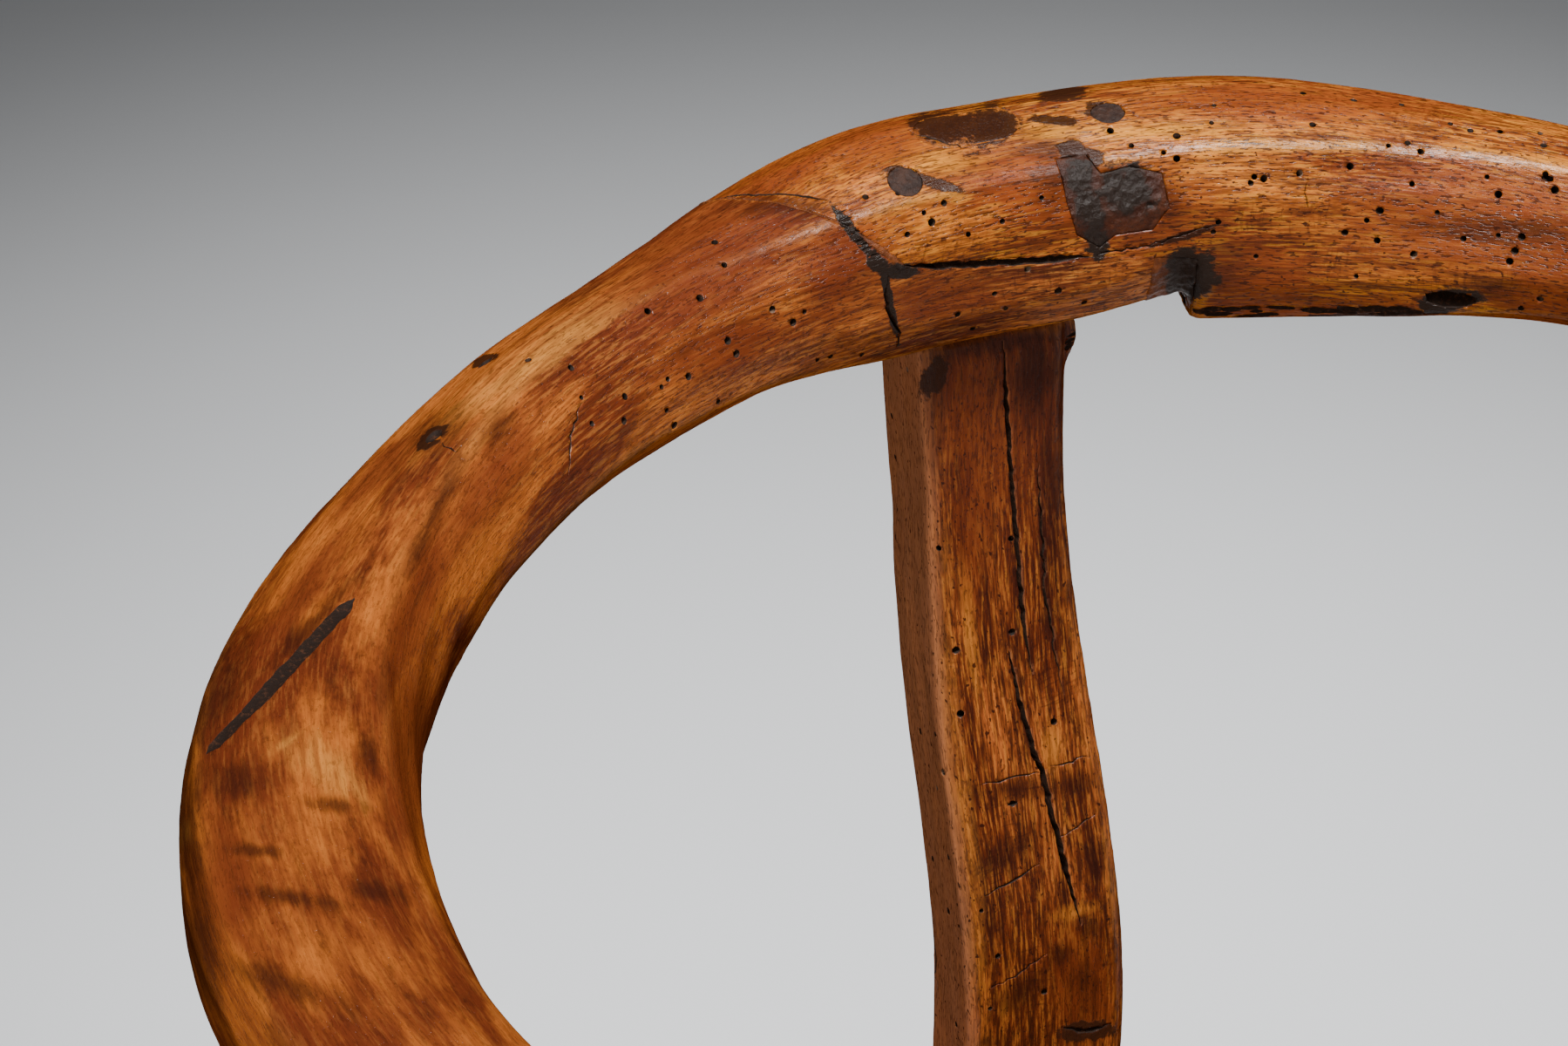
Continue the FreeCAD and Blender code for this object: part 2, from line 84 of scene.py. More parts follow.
# The seat is worked in the same way, with the ends and wedges of the legs' tenons.
SEAT_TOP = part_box("seat")[1].z
LEG_NODES = ("rear_leg", "left_leg", "right_leg")
LEG_ROOT = SEAT_TOP - 12 * MM
LEG_TOP = SEAT_TOP - 1 * MM

# How far the tools that part a skin stand out of it, and how far an upright reaches into its tenon end.
TENON_REACH = 12 * MM
PEG_REACH = 8 * MM
PATCH_REACH = 6 * MM
TENON_OVERLAP = 3 * MM

# How wood is worked: voxel in millimetres, smoothing steps, heights in millimetres of the slow swell, tool
# marks and grit, count of wormholes that the photograph doesn't show, and seed.
Work = namedtuple("Work", "voxel smooth heights holes seed")
RAIL_WORK = Work(1.2, 8, (0.5, 0.25, 0.07), 80, 5)
SEAT_WORK = Work(2.6, 5, (1.1, 0.5, 0.1), 60, 17)
UPRIGHT_WORK = {
    "rear_post": Work(1.0, 5, (0.3, 0.2, 0.06), 16, 9),
    "left_post": Work(1.5, 5, (0.6, 0.35, 0.08), 18, 11),
    "right_post": Work(1.5, 5, (0.6, 0.35, 0.08), 18, 13),
}
for seed, leg in enumerate(LEG_NODES, 19):
    UPRIGHT_WORK[leg] = Work(2.0, 5, (0.9, 0.5, 0.1), 14, seed)

# Skin of a filler, peg or wedge: voxel, unevenness and how far it stands proud, in millimetres, and seed.
Lump = namedtuple("Lump", "voxel uneven proud seed")
LUMPS = {
    "patch_filler": Lump(0.5, 0.22, 0.02, 31),
    "shoulder_filler": Lump(0.4, 0.35, 0.25, 33),
    "tip_filler": Lump(0.5, 0.5, 0.3, 35),
    "left_lap_peg": Lump(0.5, 0.1, 0.0, 37),
    "right_lap_peg": Lump(0.5, 0.1, 0.0, 38),
}
for seed, leg in enumerate(LEG_NODES, 41):
    LUMPS[leg + "_wedge"] = Lump(0.6, 0.08, 0.0, seed)
LUMP_SMOOTH = 2

# Start of each piece's grain, in metres, so that no two pieces share a figure.
LEFT_GRAIN_START = 0.37
RIGHT_GRAIN_START = 2.6
GRAIN_STEP = 0.37

# Wormholes, in pixels of the photograph, on the rail and on the post that carry them.
HOLES = {
    "rail": [
        (1593, 167), (1615, 164), (1630, 174), (1549, 191), (1491, 199), (1620, 211), (1706, 203),
        (1773, 200), (1649, 244), (1583, 242), (1568, 253), (1543, 267), (1580, 276), (1679, 274),
        (1719, 270), (1746, 272), (1738, 288), (1732, 300), (1622, 292), (1556, 317), (1441, 294),
        (1398, 255), (1392, 266), (1439, 203), (1450, 205), (1435, 210), (1767, 343), (1745, 354),
        (1719, 223), (1784, 218), (1664, 142), (1687, 150), (1721, 151), (1767, 153), (1771, 167),
        (1495, 107), (1553, 115), (1608, 120), (1393, 121), (1506, 143), (1390, 141), (1350, 156),
        (1350, 182), (1335, 175), (1298, 167), (1274, 150), (1111, 269), (1041, 269), (1069, 255),
        (1060, 244), (1083, 233), (993, 226), (1030, 222), (1150, 254), (1195, 227), (1116, 377),
        (1099, 361), (1214, 334), (1179, 309), (1141, 337), (1154, 354), (1244, 347), (820, 278),
        (831, 304), (803, 342), (886, 355), (923, 358), (910, 370), (835, 391), (845, 406), (790, 432),
        (989, 407), (953, 409), (938, 413), (743, 357), (655, 422), (766, 435), (759, 444), (679, 486),
        (667, 456), (717, 455), (716, 483), (765, 471), (824, 461), (774, 488), (606, 413),
    ],
    "rear_post": [
        (1023, 477), (1027, 524), (1041, 424), (1077, 629), (1160, 618), (1097, 746), (1102, 819),
        (1209, 828), (1161, 725), (1056, 839), (1073, 842), (1082, 886), (1075, 904), (1126, 1045),
        (1145, 1097), (1198, 1138), (1136, 1157), (1070, 985), (1088, 983), (1088, 1045), (1097, 1175),
        (1162, 922),
    ],
}

# Cracks, gouges and splits of a piece: a line of pixels, width and depth in millimetres, and raggedness.
Crack = namedtuple("Crack", "line width depth ragged", defaults=(1.0,))
CRACKS = {
    "rail": [
        Crack([(1034, 305), (1070, 305), (1120, 303), (1190, 299), (1252, 294)], 2.4, 9.0, 0.6),
        Crack([(1258, 292), (1300, 285), (1330, 281)], 0.7, 3.0),
        Crack([(1320, 281), (1358, 270), (1394, 258)], 0.6, 1.4),
        Crack([(812, 229), (850, 224), (900, 223), (950, 229)], 0.9, 3.0, 0.5),
        Crack([(1018, 318), (1016, 340), (1021, 362), (1033, 381), (1029, 400)], 1.6, 1.6),
        Crack([(1043, 150), (1062, 158), (1090, 166), (1118, 171)], 0.8, 2.0),
        Crack([(406, 686), (350, 746), (300, 800), (236, 866)], 5.6, 1.1, 0.2),
        Crack([(668, 462), (655, 500), (652, 545)], 0.5, 2.0),
        Crack([(505, 508), (522, 518), (530, 512)], 0.8, 1.6),
        Crack([(1500, 205), (1498, 222), (1500, 240)], 0.35, 0.6),
    ],
    "rear_post": [
        Crack([
            (1151, 392), (1154, 450), (1157, 506),
            (1164, 595), (1174, 714), (1184, 774),
        ], 1.4, 9.0, 0.6),
        Crack([
            (1156, 742), (1170, 810), (1185, 859), (1195, 883),
            (1203, 919), (1213, 960), (1225, 1007), (1240, 1061),
        ], 1.8, 9.0, 0.7),
        Crack([(1190, 520), (1195, 600), (1199, 685), (1210, 745), (1220, 796)], 1.0, 2.0),
        Crack([(1126, 900), (1160, 893), (1195, 885)], 0.6, 0.7),
        Crack([(1206, 880), (1230, 873), (1250, 867)], 0.6, 0.7),
        Crack([(1128, 1030), (1160, 1012), (1192, 991)], 0.8, 0.9),
        Crack([(1217, 962), (1237, 949), (1257, 934)], 0.6, 0.7),
        Crack([(1138, 1134), (1170, 1116), (1201, 1094)], 0.6, 0.7),
        Crack([(1216, 1178), (1245, 1183), (1276, 1174)], 2.2, 1.8),
        Crack([(1070, 1052), (1072, 1090), (1074, 1134)], 1.2, 2.0),
    ],
}

# Hollows of a piece: a pixel, and the three half sizes in millimetres: along, up the face, and in.
Hollow = namedtuple("Hollow", "place along up deep")
HOLLOWS = {
    "rail": [
        Hollow((1664, 344), 6.5, 2.6, 8.0),
        Hollow((557, 416), 2.4, 1.4, 1.6),
        Hollow((498, 500), 3.0, 1.7, 0.9),
        Hollow((1320, 236), 1.4, 1.2, 1.0),
        Hollow((1776, 205), 1.6, 0.8, 2.0),
    ],
    "rear_post": [
        Hollow((1162, 922), 1.5, 0.6, 1.2),
    ],
}

# Torn edges of a piece: a line of pixels with chips broken out, how many, and their size in millimetres.
Tear = namedtuple("Tear", "line chips size")
TEARS = {
    "rail": [
        Tear([(1376, 358), (1450, 361), (1540, 361), (1632, 352)], 44, 1.7),
        Tear([(1306, 350), (1330, 345)], 5, 1.1),
        Tear([(958, 234), (985, 272), (1008, 300)], 12, 0.7),
    ],
    "rear_post": [
        Tear([(1228, 396), (1238, 384)], 5, 1.2),
    ],
}

# Marks of colour on a piece: the middle's two pixels, half length and half width, and slant in degrees. The
# dark tints and darker red zones are partly painted shade, and the pale rubbed places are partly painted
# highlight.
MARKS = {
    "rail": {
        "stain": [
            (1086, 146, 46, 18, 4), (1136, 146, 32, 24, -10), (1032, 200, 24, 11, 4),
            (1264, 127, 22, 11, 3), (1222, 106, 28, 9, -8), (1208, 138, 32, 5, 4), (1082, 213, 25, 7, 16),
            (1238, 178, 26, 14, 20), (1356, 271, 42, 4, -17), (1580, 361, 70, 4, -2),
            (496, 502, 20, 9, -38), (556, 413, 16, 6, -25),
        ],
        # dark streaky tints, partly painted shade: along the left hand's outer side and along its ridge
        "tint_and_shade": [
            (1300, 246, 44, 26, 0), (1326, 232, 30, 34, 0), (1212, 205, 26, 34, 20),
            (1200, 170, 50, 13, 8), (1712, 328, 44, 12, 6), (1715, 264, 90, 14, 5),
            (1402, 308, 32, 28, 0), (900, 236, 60, 14, 2), (352, 722, 60, 10, -46),
            (508, 497, 40, 22, -38), (570, 492, 26, 14, -50), (498, 590, 70, 9, -66),
            (276, 900, 24, 22, 0), (424, 866, 10, 20, -10), (383, 924, 30, 8, 6), (300, 976, 30, 7, 4),
            (430, 1022, 28, 12, 14), (336, 1030, 56, 8, 8), (224, 830, 26, 120, 22),
            (216, 960, 22, 100, 0), (228, 1090, 18, 80, -14), (330, 1130, 70, 16, 20),
        ],
        # darker red zones, partly painted shade: the left hand's inner side, the rail's lower edge and its
        # right end
        "ruddy_and_shade": [
            (1310, 244, 80, 44, 0), (1200, 212, 90, 40, 14), (1480, 118, 160, 20, 2),
            (1000, 162, 70, 26, -10), (1700, 258, 150, 62, 6), (1440, 318, 70, 30, 0),
            (1505, 356, 150, 12, 0), (1780, 330, 60, 50, 0), (966, 306, 46, 60, 30),
            (1080, 340, 70, 24, -8), (900, 200, 70, 20, -26), (830, 400, 70, 26, -24),
            (815, 290, 110, 70, -28), (560, 560, 90, 22, -58), (474, 700, 130, 24, -72),
            (470, 860, 24, 110, 0), (345, 680, 70, 16, -52), (258, 1020, 34, 60, 0),
            (430, 545, 60, 10, -45),
        ],
        # pale rubbed places; along the left hand's ridge and on the top of the crest they are partly painted
        # highlight
        "wear_and_highlight": [
            (1088, 187, 54, 13, 3), (1206, 153, 42, 12, -3), (1330, 150, 80, 10, -3),
            (600, 422, 120, 16, -37), (330, 851, 22, 5, -32), (372, 880, 50, 20, 40),
            (214, 956, 7, 16, 10),
        ],
        "soot": [
            (1238, 204, 18, 24, -10), (1250, 240, 16, 30, -14), (1258, 275, 15, 24, -10),
            (1294, 217, 32, 31, 0), (1366, 315, 30, 31, -30), (1664, 345, 32, 13, -6),
            (1034, 311, 20, 8, 0), (1021, 348, 5, 44, -12), (980, 268, 6, 46, -38),
            (1006, 301, 9, 16, -38),
        ],
    },
    "rear_post": {
        "stain": [
            (1072, 430, 12, 26, 20), (1247, 1183, 34, 11, -4),
        ],
        # dark streaky tints; across the top of the post they are the rail's painted shadow
        "tint_and_shade": [
            (1186, 436, 22, 62, 0), (1130, 396, 100, 14, -10), (1195, 610, 5, 90, -3),
            (1211, 742, 4, 66, -8), (1205, 560, 14, 130, 0), (1160, 906, 40, 12, -6),
            (1152, 984, 34, 16, -28), (1232, 902, 26, 14, -10), (1252, 988, 11, 32, -10),
            (1252, 1062, 12, 13, -8), (1216, 1095, 11, 12, 0), (1243, 1126, 14, 24, -8),
            (1170, 1140, 36, 14, -36), (1132, 1196, 16, 8, 0),
        ],
        # darker red zones; the two upper ones are painted shade under the rail
        "ruddy_and_shade": [
            (1118, 560, 22, 110, 0), (1140, 450, 90, 120, 0), (1240, 1130, 34, 50, -8),
        ],
        "wear_and_highlight": [
            (1112, 720, 7, 70, -5), (1243, 1092, 5, 14, -8), (1206, 858, 12, 26, -6),
            (1152, 1160, 6, 22, 0), (1232, 1046, 24, 8, -14),
        ],
    },
}
MARK_KINDS = ("stain", "tint_and_shade", "ruddy_and_shade", "wear_and_highlight", "soot")


# Camera and pixels


def pixel_ray(pixel):
    """Direction of the line of sight through a pixel of the photograph."""
    across = pixel[0] - PHOTO_WIDTH / 2
    down = pixel[1] - PHOTO_HEIGHT / 2
    return (LOOK * FOCAL_PIXELS + CAMERA_RIGHT * across - CAMERA_UP * down).normalized()


def to_pixels(points):
    """Pixels of the photograph at which points lie."""
    local = points - np.array(EYE)
    depth = local @ np.array(LOOK)
    across = PHOTO_WIDTH / 2 + FOCAL_PIXELS * (local @ np.array(CAMERA_RIGHT)) / depth
    down = PHOTO_HEIGHT / 2 - FOCAL_PIXELS * (local @ np.array(CAMERA_UP)) / depth
    return across, down


def add_camera():
    data = bpy.data.cameras.new("camera")
    data.sensor_fit = "HORIZONTAL"
    data.lens = FOCAL_PIXELS / PHOTO_WIDTH * data.sensor_width
    camera = bpy.data.objects.new("camera", data)
    camera.location = EYE
    camera.rotation_euler = (math.pi / 2 - CAMERA_PITCH, 0.0, -CAMERA_HEADING)
    bpy.context.scene.collection.objects.link(camera)
    bpy.context.scene.camera = camera


# Meshes


def new_object(name, mesh):
    thing = bpy.data.objects.new(name, mesh)
    bpy.context.scene.collection.objects.link(thing)
    return thing


def remove_object(thing):
    mesh = thing.data
    bpy.data.objects.remove(thing)
    bpy.data.meshes.remove(mesh)


def built(name, build):
    """An object from a mesh under construction, which is used up."""
    mesh = bpy.data.meshes.new(name)
    build.to_mesh(mesh)
    build.free()
    return new_object(name, mesh)


def apply_modifiers(thing):
    graph = bpy.context.evaluated_depsgraph_get()
    mesh = bpy.data.meshes.new_from_object(thing.evaluated_get(graph))
    old = thing.data
    thing.modifiers.clear()
    thing.data = mesh
    bpy.data.meshes.remove(old)


def make_even(thing, voxel):
    """Remeshes a closed object in even quads of a given size in millimetres."""
    remesh = thing.modifiers.new("even", "REMESH")
    remesh.mode = "VOXEL"
    remesh.voxel_size = voxel * MM
    apply_modifiers(thing)


def boolean(thing, tool, operation):
    step = thing.modifiers.new("boolean", "BOOLEAN")
    step.operation = operation
    step.solver = "MANIFOLD"
    step.object = tool
    apply_modifiers(thing)


def rows_of(items, key, width, kind):
    flat = np.empty(len(items) * width, dtype=kind)
    items.foreach_get(key, flat)
    return flat.reshape(-1, width)


def get_points(mesh):
    return rows_of(mesh.vertices, "co", 3, np.float32).astype(float)


def set_points(mesh, points):
    mesh.vertices.foreach_set("co", points.astype(np.float32).ravel())
    mesh.update()


def get_normals(mesh):
    return rows_of(mesh.vertex_normals, "vector", 3, np.float32).astype(float)


def neighbour_mean(mesh):
    """A function that gives, for values at the points of a mesh, the mean of their neighbours' values."""
    first, second = rows_of(mesh.edges, "vertices", 2, np.int32).T
    size = len(mesh.vertices)
    count = np.bincount(np.concatenate([first, second]), minlength=size)

    def mean(values):
        columns = [
            (np.bincount(first, column[second], size) + np.bincount(second, column[first], size)) / count
            for column in values.T
        ]
        return np.stack(columns, axis=1)

    return mean


def relax(mesh, steps):
    """Smooths a mesh by moving each point halfway to the mean of its neighbours."""
    mean = neighbour_mean(mesh)
    points = get_points(mesh)
    for _ in range(steps):
        points += (mean(points) - points) * 0.5
    set_points(mesh, points)


def ridge_share(mesh, spread=8):
    """How much each point stands out of its surroundings: towards 1 on ridges, towards -1 in hollows."""
    mean = neighbour_mean(mesh)
    points = get_points(mesh)
    bend = ((points - mean(points)) * get_normals(mesh)).sum(axis=1)[:, None]
    for _ in range(spread):
        bend = mean(bend)
    bend = bend[:, 0] - np.median(bend)
    return np.clip(bend / np.percentile(np.abs(bend), 96), -1.0, 1.0)


def tree_of(thing):
    return BVHTree.FromPolygons(
        [v.co for v in thing.data.vertices], [tuple(p.vertices) for p in thing.data.polygons]
    )


def ripple(points, stretch, seed):
    """Smooth noise at points, from -1 to 1, with its waves stretched along each axis."""
    places = points / np.array(stretch) + seed
    return np.array([noise.noise(Vector(p)) for p in places])


def nearest_values(points, places, values):
    """For each point, the value that belongs to the nearest place."""
    tree = KDTree(len(places))
    for k, place in enumerate(places):
        tree.insert(place, k)
    tree.balance()
    return values[[tree.find(point)[1] for point in points]]


# Joints read from the CAD nodes


def welded(node):
    """A CAD node's closed mesh, under construction, with its split points joined."""
    build = bmesh.new()
    build.from_mesh(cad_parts[node].data)
    bmesh.ops.remove_doubles(build, verts=build.verts, dist=0.002 * MM)
    return build


def keep_side(build, point, normal):
    """Cuts a closed mesh by a plane, keeps the side that the normal points to and closes it."""
    geometry = build.verts[:] + build.edges[:] + build.faces[:]
    done = bmesh.ops.bisect_plane(build, geom=geometry, plane_co=point, plane_no=normal, clear_inner=True)
    rim = [e for e in done["geom_cut"] if isinstance(e, bmesh.types.BMEdge)]
    bmesh.ops.edgenet_fill(build, edges=rim)
    bmesh.ops.recalc_face_normals(build, faces=build.faces)


Plane = namedtuple("Plane", "point normal")


def largest_flat(node, direction):
    """The largest flat face of a CAD node that faces about a direction."""
    direction = Vector(direction).normalized()
    groups = {}
    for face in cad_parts[node].data.polygons:
        if face.normal.dot(direction) > 0.95:
            offset = face.normal.dot(face.center) / MM
            key = tuple(round(v, 2) for v in face.normal) + (round(offset),)
            groups.setdefault(key, []).append(face)
    best = max(groups.values(), key=lambda faces: sum(f.area for f in faces))
    return Plane(best[0].center.copy(), best[0].normal.copy())


def other_way(plane):
    return Plane(plane.point, -plane.normal)


def block(*planes):
    """A large closed block on the side of each plane that its normal points to."""
    build = bmesh.new()
    bmesh.ops.create_cube(build, size=4 * RAIL_RADIUS, matrix=Matrix.Translation(RING))
    for plane in planes:
        keep_side(build, plane.point, plane.normal)
    return built("block", build)


def tenon_end(node, root):
    """A CAD node's tenon above a height, as a closed object."""
    build = welded(node)
    keep_side(build, Vector((0.0, 0.0, root)), UP)
    return built("tenon", build)


def lengthened(thing, top):
    """Raises the points above a height, so that a tool stands out of the wood round it."""
    for vert in thing.data.vertices:
        if vert.co.z > top:
            vert.co.z += TENON_REACH
    return thing


def hull_of(thing):
    """The convex hull of an object, as a new object."""
    build = bmesh.new()
    for vert in thing.data.vertices:
        build.verts.new(vert.co)
    done = bmesh.ops.convex_hull(build, input=build.verts)
    spare = [v for v in done["geom_interior"] + done["geom_unused"] if isinstance(v, bmesh.types.BMVert)]
    bmesh.ops.delete(build, geom=list(set(spare)), context="VERTS")
    bmesh.ops.recalc_face_normals(build, faces=build.faces)
    return built("hull", build)


def peg_tool(peg):
    """A peg, lengthened at both ends."""
    build = welded(peg)
    for vert in build.verts:
        vert.co.z += math.copysign(PEG_REACH, vert.co.z - RAIL_HEIGHT)
    return built("peg", build)


def patch_tool():
    """The patch, thickened away from its floor in the rail."""
    floor = largest_flat("patch_filler", (0.13, 0.96, -0.26))
    build = welded("patch_filler")
    for vert in build.verts:
        if (floor.point - vert.co).dot(floor.normal) > 0.5 * MM:
            vert.co -= floor.normal * PATCH_REACH
    return built("patch", build)


# Grain: distance along the wood, and two coordinates across it, in metres


GRAIN_LEVELS = 13
LEVEL_REACH = 20 * MM


def rail_grain(points, offset):
    plan = points[:, :2] - np.array(RING[:2])
    angle = np.arctan2(plan[:, 0], plan[:, 1])
    radius = np.hypot(plan[:, 0], plan[:, 1])
    return np.stack([angle * RAIL_RADIUS + offset, radius - RAIL_RADIUS, points[:, 2] - RAIL_HEIGHT], axis=1)


def upright_grain(points, offset):
    """Grain of a post or leg: heights, and what lies off its own bent middle line."""
    levels = np.linspace(points[:, 2].min(), points[:, 2].max(), GRAIN_LEVELS)
    middles = []
    for level in levels:
        near = np.abs(points[:, 2] - level) < LEVEL_REACH
        middles.append(points[near][:, :2].mean(axis=0))
    middles = np.array(middles)
    off_x = points[:, 0] - np.interp(points[:, 2], levels, middles[:, 0])
    off_y = points[:, 1] - np.interp(points[:, 2], levels, middles[:, 1])
    return np.stack([points[:, 2] + offset, off_x, off_y], axis=1)


def plank_grain(points, offset):
    return np.stack([points[:, 0] + offset, points[:, 1], points[:, 2]], axis=1)


# Cutters


def closed_shapes(name, shapes):
    """One object of closed shapes, each a list of points and a list of faces."""
    build = bmesh.new()
    for points, faces in shapes:
        made = [build.verts.new(p) for p in points]
        for face in faces:
            build.faces.new([made[k] for k in face])
    bmesh.ops.recalc_face_normals(build, faces=build.faces)
    return built(name, build)


def tube_faces(rings, sides):
    """Faces of a closed tube of rings of points: a cap at each end and quads between."""
    last = (rings - 1) * sides
    faces = [list(range(sides)), list(range(last, last + sides))]
    for ring in range(0, last, sides):
        for k in range(sides):
            after = (k + 1) % sides
            faces.append([ring + k, ring + after, ring + sides + after, ring + sides + k])
    return faces


def bore_shape(place, normal, radius, depth, lean, sides=10):
    """A tapered round plug that stands a little out of the surface."""
    axis = (normal + lean).normalized()
    side = axis.orthogonal().normalized()
    other = axis.cross(side)
    points = []
    for level, share in ((0.8 * MM, 1.04), (-depth * 0.7, 0.95), (-depth, 0.55)):
        for k in range(sides):
            turn = 2 * math.pi * k / sides
            spoke = side * math.cos(turn) + other * math.sin(turn)
            points.append(place + axis * level + spoke * (radius * share))
    return points, tube_faces(3, sides)


def blade_shape(places, normals, width, depth, ragged, chance):
    """A long wedge along a line on a surface, for a crack: thin at both ends, or blunt if it isn't ragged."""
    count = len(places)
    points = []
    for k in range(count):
        along = (places[min(k + 1, count - 1)] - places[max(k - 1, 0)]).normalized()
        side = normals[k].cross(along).normalized()
        taper = min(1.0, 0.12 + 3.0 / max(ragged, 0.15) * min(k, count - 1 - k) / count)
        half = width * taper * (1.0 - ragged * chance.uniform(-0.2, 0.35)) / 2
        rise = min(0.6 * MM, depth * 0.4)
        points.append(places[k] + side * half + normals[k] * rise)
        points.append(places[k] - side * half + normals[k] * rise)
        stray = width * ragged * chance.uniform(-0.2, 0.2)
        points.append(places[k] - normals[k] * (depth * taper) + side * stray)
    return points, tube_faces(count, 3)


def hollow_shape(place, normal, along, sizes, chance, rows=6, sides=14):
    """A lumpy egg sunk in a surface."""
    up = normal.cross(along).normalized()
    ahead = up.cross(normal)
    points = [place + normal * sizes[2]]
    for row in range(1, rows):
        tip = math.pi * row / rows
        for k in range(sides):
            turn = 2 * math.pi * k / sides
            swell = chance.uniform(0.85, 1.15)
            flat = ahead * (sizes[0] * math.cos(turn)) + up * (sizes[1] * math.sin(turn))
            points.append(place + (flat * math.sin(tip) + normal * (sizes[2] * math.cos(tip))) * swell)
    points.append(place - normal * sizes[2])
    last = len(points) - 1
    faces = []
    for k in range(sides):
        after = (k + 1) % sides
        faces.append([0, 1 + k, 1 + after])
        faces.append([last, last - sides + after, last - sides + k])
        for row in range(rows - 2):
            start = 1 + row * sides
            faces.append([start + k, start + sides + k, start + sides + after, start + after])
    return points, faces


def cut(thing, name, shapes, slot_index):
    """Cuts closed shapes out of a piece and gives the new faces the material in one of its slots."""
    if not shapes:
        return
    tool = closed_shapes(name, shapes)
    for material in thing.data.materials:
        tool.data.materials.append(material)
    for face in tool.data.polygons:
        face.material_index = slot_index
    boolean(thing, tool, "DIFFERENCE")
    remove_object(tool)


def seen_place(tree, pixel):
    """Place and normal on a surface at a pixel, or none."""
    place, normal, _, _ = tree.ray_cast(EYE, pixel_ray(pixel))
    return place, normal


def traced(tree, line, chance, step=7.0, shake=1.6):
    """Places and normals on a surface along a shaky line of pixels."""
    places, normals = [], []
    for start, end in zip(line, line[1:]):
        length = math.hypot(end[0] - start[0], end[1] - start[1])
        pieces = max(1, round(length / step))
        for k in range(pieces + (end == line[-1])):
            share = k / pieces
            pixel = [a + (b - a) * share + chance.uniform(-shake, shake) for a, b in zip(start, end)]
            place, normal = seen_place(tree, pixel)
            if place is not None:
                places.append(place)
                normals.append(normal)
    return places, normals


# Radii and depths of wormholes in millimetres, in and out of the photograph, and how far they lean.
Bores = namedtuple("Bores", "radii depths")
SEEN_BORES = Bores((0.62, 1.02), (3.0, 5.0))
OTHER_BORES = Bores((0.6, 1.0), (2.5, 4.5))
BORE_LEAN = 0.3
HOLE_SPACING = 3.5 * MM
FRAME_MARGIN = 30


def wormhole(place, normal, bores, chance):
    radius = chance.uniform(*bores.radii) * MM
    depth = chance.uniform(*bores.depths) * MM
    lean = Vector([chance.uniform(-BORE_LEAN, BORE_LEAN) for _ in range(3)])
    return bore_shape(place, normal, radius, depth, lean)


def seen_holes(name, tree, chance):
    """Wormholes at the photograph's pixels."""
    shapes = []
    for pixel in HOLES.get(name, []):
        place, normal = seen_place(tree, pixel)
        if place is not None:
            shapes.append(wormhole(place, normal, SEEN_BORES, chance))
    return shapes


def scattered_holes(mesh, count, chance):
    """Wormholes at chance places that the photograph doesn't show."""
    points = get_points(mesh)
    normals = get_normals(mesh)
    across, down = to_pixels(points)
    facing = ((np.array(EYE) - points) * normals).sum(axis=1) > 0
    in_width = (across > -FRAME_MARGIN) & (across < PHOTO_WIDTH + FRAME_MARGIN)
    in_height = (down > -FRAME_MARGIN) & (down < PHOTO_HEIGHT + FRAME_MARGIN)
    shown = facing & in_width & in_height
    hidden = np.flatnonzero(~shown)
    shapes, taken = [], []
    while len(shapes) < count:
        pick = hidden[chance.randrange(len(hidden))]
        place, normal = Vector(points[pick]), Vector(normals[pick])
        if any((place - other).length < HOLE_SPACING for other in taken):
            continue
        taken.append(place)
        shapes.append(wormhole(place, normal, OTHER_BORES, chance))
    return shapes


def seen_cracks(name, tree, chance):
    shapes = []
    for crack in CRACKS.get(name, []):
        places, normals = traced(tree, crack.line, chance, shake=1.6 * crack.ragged)
        if len(places) > 2:
            width, depth = crack.width * MM, crack.depth * MM
            shapes.append(blade_shape(places, normals, width, depth, crack.ragged, chance))
    return shapes


def along_rail(place):
    plan = place - RING
    return Vector((plan.y, -plan.x, 0.0)).normalized()


def seen_hollows(name, tree, chance):
    shapes = []
    for hollow in HOLLOWS.get(name, []):
        place, normal = seen_place(tree, hollow.place)
        if place is not None:
            sizes = (hollow.along * MM, hollow.up * MM, hollow.deep * MM)
            shapes.append(hollow_shape(place, normal, along_rail(place), sizes, chance))
    return shapes


# Sizes of a chip as shares of its tear's size: along, up the face, and in.
CHIP_SHARES = ((0.8, 2.6), (0.35, 0.8), (0.3, 0.7))
CHIP_SPACING = 10 * MM


def torn_chips(name, tree, chance):
    """Lots of small chips, in lists in which none lies near another."""
    batches = []
    for tear in TEARS.get(name, []):
        places, normals = traced(tree, tear.line, chance, step=3.0, shake=5.0 * tear.size)
        for _ in range(tear.chips if places else 0):
            pick = chance.randrange(len(places))
            place, normal = places[pick], normals[pick]
            sizes = [tear.size * MM * chance.uniform(low, high) for low, high in CHIP_SHARES]
            batch = next((b for b in batches if all((p - place).length > CHIP_SPACING for p, _ in b)), None)
            if batch is None:
                batch = []
                batches.append(batch)
            batch.append((place, hollow_shape(place, normal, along_rail(place), sizes, chance, 4, 8)))
    return [[shape for _, shape in batch] for batch in batches]


# Colour marks as attributes of the points


def set_floats(mesh, name, values):
    mesh.attributes.new(name, "FLOAT", "POINT").data.foreach_set("value", values.astype(np.float32))


